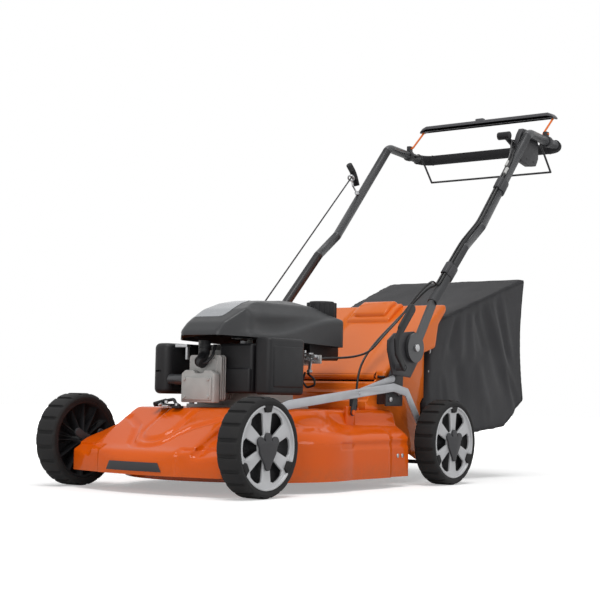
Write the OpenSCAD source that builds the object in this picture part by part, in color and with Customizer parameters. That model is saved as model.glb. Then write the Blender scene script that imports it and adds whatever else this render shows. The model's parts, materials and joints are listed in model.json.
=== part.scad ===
// Rear-discharge petrol lawn mower, in millimetres.
// +Z is up, the nose faces -Y and the grass bag +Y, +X is the operator's left-hand side.
// The origin lies on the ground, on the centre plane, below the middle of the overall length.
// Inside machine_frame() the Y of every piece is counted from the middle of the wheelbase.

/* [Wheels] */
// Radius of the tyres over the lugs
wheel_r = 105; // [95:1:112]
// Width of a tyre
tyre_w = 58; // [45:1:62]
// Width over the outer faces of the wheels
track_w = 590; // [580:2:620]
// Distance between the front and the rear axles
wheelbase = 742; // [730:2:780]
// Radius of the rim, on which the tyre sits
rim_r = 88; // [84:1:90]
// Number of lugs around a tyre
lug_count = 20; // [12:4:28]
// Depth of the grooves between the lugs
lug_depth = 4.5; // [2:0.5:5]
// Radius of the stub axles and of the drive shaft
axle_r = 6; // [5:0.5:7]

/* [Height adjustment] */
// Distance from an arm's pivot to its axle
arm_len = 42; // [42:2:42]
// Angle of that line below the horizontal at rest
arm_angle = 46; // [40:1:50]
// Distance from the arm's pivot back to its link pin
link_back = 12; // [8:1:16]
// Distance from the arm's pivot up to its link pin
link_up = 45; // [42:1:50]
// Width of the link bars
link_w = 20; // [14:1:24]
// Thickness of the link bars
link_t = 4; // [3:0.5:4.5]
// Radius of the link pins
link_pin_r = 4; // [3:0.5:5]

/* [Deck] */
// Thickness of the deck's sheet steel
deck_t = 2.5; // [2:0.25:3.5]
// Radius of the round blade chamber, outside
chamber_r = 272; // [270:1:276]
// Distance of the crankshaft in front of the middle of the wheelbase
crank_back = 95; // [90:1:100]
// Height of the deck's lower edge
deck_bottom = 25; // [20:1:30]
// Height of the flat top that carries the engine
deck_top = 182; // [178:1:186]
// Height of the lower edge of the nose
nose_bottom = 40; // [34:1:46]
// Half width of the nose between the front wheels
nose_half = 222; // [216:1:222]
// Half width of the deck's flanks
flank_half = 262; // [256:1:264]
// Half width of the deck behind the flanks
rear_half = 250; // [248:1:254]
// Distance of the deck's rear wall behind the middle of the wheelbase
deck_rear = 235; // [230:1:240]
// Half width of the insert in the nose
insert_half = 80; // [60:1:100]

/* [Chute and door] */
// Half width over the side walls of the chute
chute_half = 178; // [170:1:180]
// Thickness of the chute's walls
chute_t = 4; // [3:0.5:6]
// Half width over the cheeks of the rear door
door_half = 195.5; // [194:0.5:197]
// Thickness of the door
door_t = 3; // [2.5:0.25:4]
// Length of the door along its slope
door_len = 340; // [320:2:344]
// Slope of the door when it is shut
door_slope = 33; // [33:1:34]
// Radius of the door's hinge rod
door_rod_r = 3; // [2:0.25:4]

/* [Engine and blade] */
// Diameter of the circle that the blade cuts
cut_d = 530; // [500:2:532]
// Width of the blade
blade_w = 56; // [44:1:64]
// Thickness of the blade
blade_t = 4; // [3:0.25:5]
// Height of the blade's lower face
blade_z = 40; // [36:1:44]
// Radius of the crankshaft
crank_r = 12.5; // [10:0.5:14]
// Radius of the flywheel
flywheel_r = 88; // [80:1:89]
// Half width of the engine's top cover
cover_half = 140; // [134:1:146]
// Height of the top of the cover
cover_top = 434; // [430:1:440]
// Thickness of the cover
cover_t = 3; // [2:0.25:3.5]
// Radius of the fuel cap
cap_r = 37; // [34:1:39]
// Groove radius of the pulley on the crankshaft
pulley_crank_r = 26; // [24:1:30]
// Groove radius of the pulley on the gearbox
pulley_drive_r = 32; // [28:1:36]

/* [Handle] */
// Radius of the handle's tube
tube_r = 12.5; // [11:0.5:13]
// Wall of the handle's tube
tube_t = 1.5; // [1.25:0.25:2.5]
// Half width between the centres of the handle's legs
tube_half = 235; // [235:0.5:236]
// Distance of the handle's cross tube behind the middle of the wheelbase
grip_y = 1050; // [1040:2:1080]
// Height of the handle's cross tube
grip_z = 949; // [942:1:956]
// Radius over the grip
grip_r = 15; // [14:0.5:17]
// Radius of the bail wires
wire_r = 3; // [2.5:0.25:3.5]
// Radius of the sheathed cables
cable_r = 3; // [2:0.25:3]

/* [Grass bag] */
// Half width of the bag's mouth
bag_front_half = 189; // [186:1:190]
// Half width of the bag's rear face
bag_rear_half = 225; // [200:1:240]
// Distance of the bag's rear face behind the middle of the wheelbase
bag_rear = 861; // [800:2:900]
// Thickness of the bag's cloth
bag_t = 2; // [1:0.5:3]

/* [Hidden] */
$fn = 48;

// clearances
run = 0.08;      // radial clearance of a shaft in its bore
loose = 0.5;     // radial clearance of an open link hole
seat = 0.3;      // gap between two pieces that are bolted or clipped together
hole = 0.3;      // radial clearance of a bolt in its hole
swell = 0.06;    // how much a tube swells in a bend

// stations along Y, counted from the middle of the wheelbase
axle_y = wheelbase / 2;
crank_y = -crank_back;
front_end = -axle_y - wheel_r;
rear_end = grip_y + grip_r;
shift_y = -(front_end + rear_end) / 2;

// layers of the running gear along X
wheel_out = track_w / 2;
wheel_in = wheel_out - tyre_w;
arm_out = wheel_in - 2;
arm_t = 5;
arm_in = arm_out - arm_t;
link_out = arm_in - 2;
link_in = link_out - link_t;
lever_out = link_in - 5;
lever_t = 4;
lever_in = lever_out - lever_t;

// pivots, as [Y, Z] from the middle of the wheelbase
pivot_step = [arm_len * cos(arm_angle), -arm_len * sin(arm_angle)];
pin_step = [link_back, link_up];
front_axle = [-axle_y, wheel_r];
rear_axle = [axle_y, wheel_r];
front_pivot = front_axle + pivot_step;
rear_pivot = rear_axle + pivot_step;
front_pin = front_pivot + pin_step;
rear_pin = rear_pivot + pin_step;
lever_pin = [50, 221.5];
lever_pivot = lever_pin - pin_step;
sway_step = [30, -25];               // from the rear pivot to the cross rod
sway_r = 5;
arm_w = 20;
stub_head_r = 9;
stub_head_t = 4;
lever_tip = [205, 258];
lever_w = 16;
tab_half = 18;

// gear in the rear wheels: the pinion turns inside a toothed ring
gear_module = 2;
pinion_teeth = 12;
ring_teeth = pinion_teeth + 2 * arm_len / gear_module;
tooth_half = gear_module * PI / 4 - 0.16;
addendum = 0.8 * gear_module;
dedendum = 1.1 * gear_module;
pressure = 20;
ring_wall = 4;
gear_w = 10;
ring_r = ring_teeth * gear_module / 2;
pinion_r = pinion_teeth * gear_module / 2;
drum_r = ring_r + dedendum + 0.5;
gear_in = wheel_in + 1;

// door, as a sloping plate behind its hinge rod
hinge = [200, 262];
door_front = hinge + [3, 12];
door_dir = [cos(door_slope), sin(door_slope)];
door_up = [-sin(door_slope), cos(door_slope)];
door_end = door_front + door_len * door_dir;
cheek_t = 3;
knuckle_r = 9;
curl_r = 8;
hinge_stop = 4;

// chute
chute_in = chute_half - chute_t - 2;
chute_front = 146;
chute_end = 408;
chute_lip = 12;
lip_top = door_front[1] + (chute_end - chute_lip - door_front[0]) * tan(door_slope) - 9;
belt_z = 111;
belt_w = 7;
belt_h = 5;
slot_half = 48;
throat_z = belt_z + 11;

// handle, as [Y, Z]
fold_pivot = [270, 335];
leg = [[352, 452], [506, 606], [593, 669], [853, 961]];
corner_r = 34;
bolt_r = 5;
bolt_head_r = 9;
bolt_head_t = 5;
bracket_t = 6;
foot_in = chute_half;
lower_in = 203;
upper_out = tube_half - 3;
knuckle_in = upper_out + 1.5;
knuckle_t = 8;
disc_r = 36;
latch_in = tube_half + tube_r + 1.5;
latch_t = 7;
latch_pivot = [200, 285];
stud_r = 4;
clip_t = 3.5;
clip_len = 40;
cable_off = tube_r + cable_r + 1.8;
cable_gap = 3.75;
brake_pivot = [965, 976];
drive_pivot = [985, 953];
brake_bar = [1030, 1045];
bar_h = 14;
bar_w = 26;
bail_half = tube_half - 4;
drive_half = tube_half - 31;
drive_low = [1050, 880];
housing_t = 16;
housing_out = tube_half - tube_r - seat;
speed_pivot = [858, 912];
speed_tip = [778, 945];

// engine
cover_bottom = 330;
cover_front = -316;
cover_rear = 112;
cover_rise = 0.03;
tank_front = 25;
tank_bottom = 300;
tank_top = 384;
neck_top = 412;
neck = [55, 130];
neck_r = 24;
case_half = 80;
case_top = 295;
plate_top = 190;
barrel_x = [-34, 41];
head_x = [-22, 72];
guard_out = -134;
guard_top = 328;
guard_in = -case_half - 3;
muffler_in = -case_half - 5;
exhaust = [-256, 245];
head_y = [-270, -241.3];
cylinder_z = 245;
filter_in = 110;
filter_out = 190;
filter_front = -240;
wing_in = 44;
intake = [-180, 258];
hub_top = 103;
hub_floor = 50;
rope_r = 2;
rope_exit = [-81, 43, 411];
rope_ring = [-228, 648, 842];
ring_in = 6;
guide_r = 2.5;
pulley_z = 351;
pulley_r = 30;

// grass bag, as [Y, Z]
bag_profile = [[430, 405], [bag_rear, 553], [bag_rear - 6, 205], [bag_rear - 90, 138],
    [592, 119], [440, 150], [404, 188]];
frame_r = 4;

// point of a leg's centre line, and the slope of the leg there
function on_leg(i, share) = leg[i] + share * (leg[i + 1] - leg[i]);
function leg_angle(i) = atan2(leg[i + 1][1] - leg[i][1], leg[i + 1][0] - leg[i][0]);

// point of a cable that runs along the left leg, side mm beside the middle
function beside(i, share, side) =
    let (p = on_leg(i, share), t = leg_angle(i))
    [tube_half + side, p[0] - cable_off * sin(t), p[1] + cable_off * cos(t)];

// routes of the two sheathed cables, as [X, Y, Z]; their middle parts follow the left leg
along = [[2, 0.66], [2, 0.5], [2, 0.3], [2, 0.08], [1, 0.9], [1, 0.5], [1, 0.08], [0, 0.96], [0, 0.66],
    [0, 0.38], [0, 0.2]];
drive_route = concat([[tube_half - 22, 813.5, 935], [tube_half - 22, 800, 934], [tube_half - 17, 786, 925]],
    [for (s = along) beside(s[0], s[1], -cable_gap)],
    [[214, 366, 490], [186, 334, 446], [160, 280, 390], [150, 220, 342], [150, 165, 290],
    [160, 135, 235], [165, 128, 205], [165, 128, 186]]);
brake_route = concat([[tube_half - 22, 813.5, 918], [tube_half - 22, 802, 917], [tube_half - 14, 788, 908]],
    [for (s = along) beside(s[0], s[1], cable_gap)],
    [[226, 366, 508], [202, 334, 470], [180, 290, 410], [166, 235, 362], [160, 185, 322],
    [158, 100, 306], [157, 10, 302], [156, -2, 300], [156, -11.7, 300]]);

// colours
paint = [0.91, 0.36, 0.10];
dark = [0.20, 0.20, 0.21];
black = [0.08, 0.08, 0.09];
grey = [0.36, 0.36, 0.37];
alloy = [0.66, 0.66, 0.68];
steel = [0.72, 0.73, 0.75];
cloth = [0.26, 0.26, 0.27];

// ---------------------------------------------------------------- helpers

module machine_frame() translate([0, shift_y, 0]) children();

module on_side(side) {
    if (side > 0) children();
    else mirror([1, 0, 0]) children();
}

module both_sides() {
    children();
    mirror([1, 0, 0]) children();
}

// a [Y, Z] outline, made solid from x0 to x1
module plate_x(x0, x1) translate([x0, 0, 0]) rotate([90, 0, 90]) linear_extrude(x1 - x0) children();

// an [X, Z] outline, made solid from y0 to y1
module plate_y(y0, y1) translate([0, y1, 0]) rotate([90, 0, 0]) linear_extrude(y1 - y0) children();

// an [X, Y] outline, made solid from z0 to z1
module plate_z(z0, z1) translate([0, 0, z0]) linear_extrude(z1 - z0) children();

module rod_x(r, x0, x1, at) translate([x0, at[0], at[1]]) rotate([0, 90, 0]) cylinder(r = r, h = x1 - x0);

module rod(a, b, r) {
    v = b - a;
    translate(a) rotate([0, acos(v[2] / norm(v)), atan2(v[1], v[0])]) cylinder(r = r, h = norm(v));
}

// round bar through a list of points
module bent_bar(points, r) {
    for (i = [0 : len(points) - 2]) rod(points[i], points[i + 1], r);
    for (p = points) translate(p) sphere(r = r);
}

function unit(v) = v / norm(v);

function turn_at(p, i) =
    i == 0 || i == len(p) - 1 ? 0 : acos(min(1, unit(p[i] - p[i - 1]) * unit(p[i + 1] - p[i])));

// round bar through a list of points, bent with a given radius at every corner;
// the bends swell by a hair, and the straight lengths run a little way into them
module pipe(p, r, bend) {
    last = len(p) - 1;
    lap = 0.7 * sqrt(2 * bend * swell);
    for (i = [0 : last - 1]) {
        d = unit(p[i + 1] - p[i]);
        start = i == 0 ? 0 : bend * tan(turn_at(p, i) / 2) - lap;
        end = i == last - 1 ? 0 : bend * tan(turn_at(p, i + 1) / 2) - lap;
        rod(p[i] + start * d, p[i + 1] - end * d, r);
    }
    for (i = [1 : last - 1]) {
        d = unit(p[i] - p[i - 1]);
        e = unit(p[i + 1] - p[i]);
        side = unit(e - (e * d) * d);
        axis = cross(d, side);
        at = p[i] - bend * tan(turn_at(p, i) / 2) * d + bend * side;
        multmatrix([[-side[0], d[0], axis[0], at[0]], [-side[1], d[1], axis[1], at[1]],
            [-side[2], d[2], axis[2], at[2]], [0, 0, 0, 1]])
            rotate_extrude(angle = turn_at(p, i)) translate([bend, 0]) circle(r = r + swell);
    }
}

// edge of a strip: every corner of the path, moved sideways and mitred
function strip_edge(points, side) = [
    for (i = [0 : len(points) - 1])
        let (
            n = len(points) - 1,
            u = unit(points[max(i, 1)] - points[max(i, 1) - 1]),
            v = unit(points[min(i + 1, n)] - points[min(i, n - 1)]),
            a = [-u[1], u[0]],
            b = [-v[1], v[0]]
        )
        points[i] + side * (a + b) / (1 + a * b)
];

// half circle of points around p, from a quarter turn left of the heading to a quarter turn right
function round_end(p, heading, r) =
    [for (i = [1 : 15]) p + r * [cos(heading + 90 - i * 11.25), sin(heading + 90 - i * 11.25)]];

function heading(a, b) = atan2(b[1] - a[1], b[0] - a[0]);

// flat strip with round ends through a list of 2D points
module strip(points, w) {
    last = len(points) - 1;
    right = strip_edge(points, -w / 2);
    polygon(concat(
        strip_edge(points, w / 2),
        round_end(points[last], heading(points[last - 1], points[last]), w / 2),
        [for (i = [last : -1 : 0]) right[i]],
        round_end(points[0], heading(points[1], points[0]), w / 2)
    ));
}

// square with round corners
module round_square(x0, y0, x1, y1, r) {
    translate([x0 + r, y0]) square([x1 - x0 - 2 * r, y1 - y0]);
    translate([x0, y0 + r]) square([x1 - x0, y1 - y0 - 2 * r]);
    for (x = [x0 + r, x1 - r], y = [y0 + r, y1 - r]) translate([x, y]) circle(r = r);
}

// box from corner a to corner b
module box(a, b) translate(a) cube(b - a);

// symmetric outline from its right half
function both_halves(points) =
    concat(points, [for (i = [len(points) - 1 : -1 : 0]) [-points[i][0], points[i][1]]]);

// outline whose edges all lie t further in; the points run clockwise
function inset(points, t) = [
    for (i = [0 : len(points) - 1])
        let (
            n = len(points),
            a = points[(i + n - 1) % n],
            b = points[i],
            c = points[(i + 1) % n],
            u = (b - a) / norm(b - a),
            v = (c - b) / norm(c - b),
            pu = a + t * [u[1], -u[0]],
            pv = b + t * [v[1], -v[0]],
            k = ((pv[0] - pu[0]) * v[1] - (pv[1] - pu[1]) * v[0]) / (u[0] * v[1] - u[1] * v[0])
        )
        pu + k * u
];

// smooth curve through points, for the cables
function blend(p, i, t) =
    let (
        n = len(p) - 1,
        a = p[max(i - 1, 0)],
        b = p[i],
        c = p[min(i + 1, n)],
        d = p[min(i + 2, n)]
    )
    0.5 * (2 * b + (c - a) * t + (2 * a - 5 * b + 4 * c - d) * t * t + (3 * b - a - 3 * c + d) * t * t * t);

function smooth(p, steps) =
    concat([for (i = [0 : len(p) - 2], k = [0 : steps - 1]) blend(p, i, k / steps)], [p[len(p) - 1]]);

// round tube of 8 sides along a curve
module swept(points, r) {
    sides = 8;
    n = len(points);
    rings = [
        for (i = [0 : n - 1])
            let (
                d = points[min(i + 1, n - 1)] - points[max(i - 1, 0)],
                t = d / norm(d),
                s = cross(t, [1, 0, 0]) / norm(cross(t, [1, 0, 0])),
                u = cross(s, t)
            )
            [for (k = [0 : sides - 1]) points[i] + r * (cos(k * 360 / sides) * u + sin(k * 360 / sides) * s)]
    ];
    polyhedron(
        points = [for (ring = rings) each ring],
        faces = concat(
            [[for (k = [sides - 1 : -1 : 0]) k]],
            [for (i = [0 : n - 2], k = [0 : sides - 1], half = [0, 1])
                half == 0
                    ? [i * sides + k, i * sides + (k + 1) % sides, (i + 1) * sides + (k + 1) % sides]
                    : [i * sides + k, (i + 1) * sides + (k + 1) % sides, (i + 1) * sides + k]],
            [[for (k = [0 : sides - 1]) (n - 1) * sides + k]]
        )
    );
}

// toothed outline: straight flanks between root_r and tip_r, with a tooth at angle 0
function gear_outline(teeth, pitch_r, root_r, tip_r, half, slope) = [
    for (i = [0 : teeth - 1], s = [[root_r, -1], [tip_r, -1], [tip_r, 1], [root_r, 1]])
        let (
            r = s[0],
            w = half - abs(r - pitch_r) * sign(r - pitch_r) * sign(tip_r - root_r) * tan(slope),
            a = i * 360 / teeth + s[1] * asin(w / r)
        )
        r * [cos(a), sin(a)]
];

// ---------------------------------------------------------------- deck

flank_end = 152;
flank_corner = 24;
function flank_outline(half, floor_z, t) = [[half, floor_z], [half, 116], [half - 14, 130 - t],
    [210 - t, 146 - t], [203 - t, 174 - t], [196 - t, deck_top - t]];

// The whole volume of the deck, with every face t further in.
module deck_volume(t) {
    low = t > 0 ? 10 : 0;
    floor_z = deck_bottom - low;
    nose_z = nose_bottom - low;
    // round chamber
    translate([0, crank_y, 0])
        rotate_extrude($fn = 96)
            polygon([[0, floor_z], [chamber_r - t, floor_z], [chamber_r - t, 112], [chamber_r - 10 - t, 130 - t],
                [228 - t, 146 - t], [207 - t, 174 - t], [198 - t, deck_top - t], [0, deck_top - t]]);
    // flanks, which end in a round corner, and the narrower rear behind them
    intersection() {
        plate_y(crank_y, flank_end - t) polygon(both_halves(flank_outline(flank_half - t, floor_z, t)));
        plate_z(floor_z, deck_top)
            round_square(-flank_half + t, crank_y - 60, flank_half - t, flank_end - t, flank_corner - t);
    }
    plate_y(crank_y, deck_rear - t) polygon(both_halves(flank_outline(rear_half - t, floor_z, t)));
    // nose: a raised middle and two lower shoulders, with an arched front
    intersection() {
        union() {
            plate_x(-150 + t, 150 - t)
                polygon([[-466 + t, nose_z], [-466 + t, 72], [-458 + t, 90 - t], [-436 + t, 100 - t],
                    [-300 + t, deck_top - t], [crank_y, deck_top - t], [crank_y, nose_z]]);
            plate_x(-nose_half + t, nose_half - t)
                polygon([[-466 + t, nose_z], [-466 + t, 66], [-440 + t, 84 - t], [-414 + t, 98 - t],
                    [-386 + t, 112 - t], [-331 + t, 128 - t], [-290 + t, 142 - t], [-230, 146 - t],
                    [crank_y, 146 - t], [crank_y, nose_z]]);
        }
        nose_arch(-t);
    }
}

nose_arch_r = 722;
module nose_arch(grow) {
    translate([0, nose_arch_r - 466, 0])
        cylinder(r = nose_arch_r + grow, h = deck_top + 1, $fn = 96);
}

engine_bolts = [for (x = [-88, 98], y = [-180, 4]) [x, y]];
engine_bolt_r = 4;
nozzle_at = [184, 85];
nozzle_r = 8;
nozzle_spigot_r = 6;
rivets = [[200, 75], [180, 75]];
rivet_r = 3;

module deck() machine_frame() color(paint) {
    difference() {
        union() {
            difference() {
                deck_volume(0);
                deck_volume(deck_t);
            }
            // wall around the blade inside the nose and the flanks
            intersection() {
                deck_volume(0);
                translate([0, crank_y, 0])
                    difference() {
                        cylinder(r = chamber_r, h = deck_top, $fn = 96);
                        translate([0, 0, -1]) cylinder(r = chamber_r - deck_t, h = deck_top + 2, $fn = 96);
                    }
            }
            // tab that carries the height lever
            box([205, lever_pivot[0] - tab_half, 142], [212, lever_pivot[0] + tab_half, lever_pivot[1] + 14]);
            rod_x(axle_r, 211, lever_out + 2, lever_pivot);
            // bosses around the front arms' shaft
            both_sides() rod_x(axle_r + 5, nose_half - 10, link_in - 1, front_pivot);
            // socket of the drive cable
            translate([165, 128, deck_top - 1]) cylinder(r = 6, h = 1 + 186 - seat - deck_top);
        }
        // throat of the chute through the chamber's wall and the rear wall
        box([-chute_in, 90, throat_z], [chute_in, deck_rear + 1, deck_top - deck_t - 1]);
        box([-chute_in, chute_front + 8, throat_z], [chute_in, deck_rear + 1, deck_top + 1]);
        // slot of the drive belt
        box([-slot_half, 120, belt_z - 12], [slot_half, deck_rear + 1, throat_z + 1]);
        // crankshaft and engine bolts
        translate([0, crank_y, deck_top - 10]) cylinder(r = 34, h = 20);
        for (b = engine_bolts)
            translate([b[0], b[1], deck_top - 10]) cylinder(r = engine_bolt_r + hole, h = 20);
        // bore of the wash nozzle
        translate([nozzle_at[0], nozzle_at[1], deck_top - 10]) cylinder(r = nozzle_spigot_r + hole, h = 20);
        // bores of the front arms' shaft, close in the bosses and wide in the chamber's wall
        both_sides() rod_x(axle_r + run, nose_half - 20, arm_in, front_pivot);
        rod_x(axle_r + 2, -nose_half + 15, nose_half - 15, front_pivot);
        // rivets behind the flanks
        both_sides() for (r = rivets) rod_x(rivet_r + hole, rear_half - 6, rear_half + 1, r);
        // screw holes of the nose insert
        for (x = [-50, 50]) translate([x, -480, 57]) rotate([-90, 0, 0]) cylinder(r = 2.3, h = 40);
    }
}

module front_insert() machine_frame() color(dark) {
    intersection() {
        plate_y(-480, -440) polygon([[-insert_half, 48], [insert_half, 48], [insert_half - 10, 67], [-insert_half + 10, 67]]);
        difference() {
            nose_arch(2);
            nose_arch(0.1);
        }
    }
    // screws into the nose
    for (x = [-50, 50])
        translate([x, -465, 57]) rotate([-90, 0, 0]) cylinder(r = 2, h = 12);
}

module wash_nozzle() machine_frame() translate([nozzle_at[0], nozzle_at[1], 0]) {
    difference() {
        union() {
            color(paint) translate([0, 0, deck_top - 25]) cylinder(r = nozzle_spigot_r, h = 26);
            color(paint) translate([0, 0, deck_top + seat]) cylinder(r = 10.5, h = 5);
            color(black) translate([0, 0, deck_top + 5]) cylinder(r = nozzle_r, h = 28);
        }
        translate([0, 0, deck_top - 30]) cylinder(r = 4, h = 70);
    }
}

// ---------------------------------------------------------------- chute and door

module chute() machine_frame() color(paint) {
    wall_top = hinge + [6, -3];
    end_top = door_front[1] + (chute_end - door_front[0]) * tan(door_slope) - 9;
    difference() {
        union() {
            // side walls, with an eye for the drive shaft and an ear for the hinge rod
            both_sides() {
                plate_x(chute_half - chute_t, chute_half) {
                    polygon([[chute_front, deck_top], [deck_rear + 2, deck_top], [deck_rear + 2, 118],
                        [rear_pivot[0] - 26, 60], [rear_pivot[0], 52], [rear_pivot[0] + 22, 66],
                        [rear_pivot[0] + 22, 88], [394, 110], [392, 200], [chute_end, 218],
                        [chute_end, end_top], wall_top, [190, 255], [chute_front, deck_top + 10]]);
                    translate(hinge) circle(r = knuckle_r - 2);
                }
            }
            // ribbed front, in steps from the deck to the hinge
            plate_x(-chute_half, chute_half)
                polygon([[146, deck_top], [148, 202], [160, 207], [164, 224], [176, 229], [180, 246],
                    [190, 251], [190, 247.5], [183, 244], [179, 226.5], [167, 221.5], [163, 204.5],
                    [151, 199.5], [150, deck_top]]);
            // floor
            plate_x(-chute_half, chute_half)
                polygon([[deck_rear + 2, 124], [chute_end, 218], [chute_end, 214.5], [deck_rear + 2, 120.5]]);
            // lips for the bag's frame
            box([-chute_half, chute_end - chute_lip, lip_top - 4], [chute_half, chute_end, lip_top]);
        }
        both_sides() rod_x(axle_r + run, chute_in, chute_half + 1, rear_pivot);
        both_sides() rod_x(door_rod_r + hole, chute_in, chute_half + 1, hinge);
        both_sides() for (b = foot_bolts) rod_x(3 + hole, chute_in, chute_half + 1, b);
    }
}

// point of the door: a along the slope, b above its top face
function on_door(a, b) = door_front + a * door_dir + b * door_up;

module rear_door() machine_frame() color(paint) {
    difference() {
        union() {
            plate_x(-door_half, door_half)
                polygon([on_door(0, 0), on_door(door_len, 0), on_door(door_len, -door_t), on_door(0, -door_t)]);
            both_sides() plate_x(door_half - cheek_t, door_half) {
                polygon([on_door(0, -1), on_door(door_len, -1), [489, 438], [452, 401], [438, 341], [380, 325],
                    [hinge[0] + 4, hinge[1] - 7]]);
                translate(hinge) circle(r = knuckle_r);
            }
            // front edge, curled around the hinge rod between the chute's walls
            plate_x(-chute_in + 3, chute_in - 3) {
                polygon([hinge + [-3, 6], on_door(0, 0), on_door(7, 0), on_door(7, -door_t), hinge + [6, 4]]);
                translate(hinge) circle(r = curl_r);
            }
            // raised grip at the rear edge
            plate_x(-55, 55)
                polygon([on_door(252, -1), on_door(260, 20), on_door(325, 22), on_door(334, 12), on_door(336, -1)]);
        }
        both_sides() rod_x(door_rod_r + run, door_half - cheek_t - 1, door_half + 1, hinge);
        rod_x(door_rod_r + 1.2, -chute_in, chute_in, hinge);
    }
}

module door_rod() machine_frame() color(steel) rod_x(door_rod_r, -door_half - 2, door_half + 2, hinge);

// ---------------------------------------------------------------- handle brackets

foot_bolts = [[206, 208], [244, 224]];
bracket_foot = [[194, 196], [258, 196], [258, 240], [194, 240]];

module handle_brackets() machine_frame() color(dark) both_sides() {
    difference() {
        union() {
            // foot on the side of the chute, and the lower plate
            plate_x(foot_in + seat, lower_in + 1) polygon(bracket_foot);
            plate_x(lower_in, lower_in + bracket_t)
                polygon([[190, 192], [262, 192], [266, 300], [222, 300], [205, 262], [190, 250]]);
            // step outwards to the upper plate
            plate_x(lower_in, upper_out) polygon([[222, 282], [266, 282], [266, 300], [222, 300]]);
            plate_x(upper_out - bracket_t, upper_out) {
                polygon([[184, 268], [262, 262], [300, 306], [276, 376], [190, 368], [163, 350], [162, 327]]);
                translate(fold_pivot) circle(r = disc_r + 4);
            }
            // stud of the release lever
            rod_x(stud_r, upper_out - 1, latch_in + latch_t, latch_pivot);
            rod_x(stud_r + 4, upper_out - 1, latch_in - seat, latch_pivot);
        }
        rod_x(bolt_r + hole, lower_in, upper_out + 1, fold_pivot);
        for (b = foot_bolts) rod_x(3 + hole, foot_in, lower_in + bracket_t + 1, b);
    }
}

module release_lever(side) machine_frame() color(black) on_side(side) difference() {
    union() {
        plate_x(latch_in, latch_in + latch_t)
            strip([latch_pivot, [170, 318], [166, 350], [185, 378]], 18);
        plate_x(latch_in, latch_in + latch_t) strip([[185, 378], [232, 428]], 24);
    }
    rod_x(stud_r + run, latch_in - 1, latch_in + latch_t + 1, latch_pivot);
}

// ---------------------------------------------------------------- engine

module crankcase() machine_frame() color(alloy) {
    difference() {
        union() {
            plate_z(deck_top, plate_top) round_square(-100, -192, 110, 16, 12);
            plate_z(plate_top - 1, case_top) round_square(-case_half, -175, case_half, -5, 14);
            // finned barrel, reaching forward to the cylinder head
            box([barrel_x[0] + 10, head_y[1] + seat, 208], [barrel_x[1] - 10, -170, 282]);
            for (y = [head_y[1] + 7 : 8 : -182])
                plate_y(y, y + 2.5) round_square(barrel_x[0], 200, barrel_x[1], 290, 6);
            // posts of the cover and arms of the fuel tank
            for (x = [-74, 74], y = [-168, -14])
                translate([x, y, plate_top]) cylinder(r = 6, h = cover_low(y) - seat - plate_top);
            box([-50, -10, 286], [60, tank_front + 55, tank_bottom - seat]);
            // plate that holds the end of the brake cable
            box([70, -16, 288], [162, -12, 308]);
        }
        translate([0, crank_y, deck_top - 1]) cylinder(r = crank_r + run, h = case_top - deck_top + 2);
        // hollow around the crank
        plate_z(plate_top + 10, case_top - 8) round_square(-case_half + 8, -167, case_half - 8, -13, 8);
        for (b = engine_bolts)
            translate([b[0], b[1], deck_top - 1]) cylinder(r = engine_bolt_r + hole, h = 20);
    }
}

module cylinder_head() machine_frame() color(alloy) {
    plate_y(head_y[0], head_y[1]) round_square(-12, 204, 60, 292, 8);
    for (y = [head_y[0] + 5 : 7 : head_y[1] - 3])
        plate_y(y, y + 2.5) round_square(head_x[0], 198, head_x[1], 300, 8);
}

module valve_cover() machine_frame() color(alloy) {
    plate_y(-290, head_y[0] - seat) round_square(-22, 194, 75, 264, 14);
    plate_y(-295, -289) round_square(-16, 200, 69, 258, 12);
    for (x = [-10, 63], z = [206, 252]) translate([x, -295, z]) rotate([90, 0, 0]) cylinder(r = 4, h = 3);
}

module spark_plug() machine_frame() {
    at = [26, head_y[0], 284];
    // the plug's body
    color(steel) translate(at + [0, -seat, 0]) rotate([90, 0, 0]) cylinder(r = 7, h = 12);
    // boot and lead
    color(black) difference() {
        translate(at + [0, -6, 0]) rotate([90, 0, 0]) cylinder(r = 10, h = 34);
        translate(at + [0, 0, 0]) rotate([90, 0, 0]) cylinder(r = 7.1, h = 13);
    }
    color(black) pipe([at + [0, -34, 0], at + [0, -34, 22], at + [12, -22, 38]], 3.5, 12);
}

module muffler() machine_frame() color(grey) difference() {
    union() {
        plate_z(222, 313) round_square(guard_out + 8, -260, muffler_in, -140, 16);
        rod_x(12, muffler_in - 2, head_x[0] - seat, exhaust);
        for (y = [-230, -165]) rod_x(5, guard_out + 2 + seat, guard_out + 10, [y, 270]);
    }
    // hollow body and its inlet
    plate_z(224, 311) round_square(guard_out + 10, -258, muffler_in - 2, -142, 14);
    rod_x(9, muffler_in - 10, head_x[0] + 10, exhaust);
}

module muffler_guard() machine_frame() color(black) difference() {
    plate_z(212, guard_top) round_square(guard_out, -270, guard_in + 20, -130, 18);
    plate_z(214, guard_top - 2) round_square(guard_out + 2, -268, guard_in + 22, -132, 16);
    for (z = [228 : 10 : 308]) box([guard_out - 10, -245, z], [guard_out + 10, -155, z + 4]);
    box([guard_in, -280, 200], [guard_in + 30, -120, guard_top + 5]);
}

module carburettor() machine_frame() color(alloy) {
    box([84, -200, 232], [102, -160, 280]);
    translate([93, -180, 220]) cylinder(r = 11, h = 14);
    rod_x(10, barrel_x[1] + seat, 85, [-188, 262]);
    rod_x(14, 101, filter_in - seat, intake);
}

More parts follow.
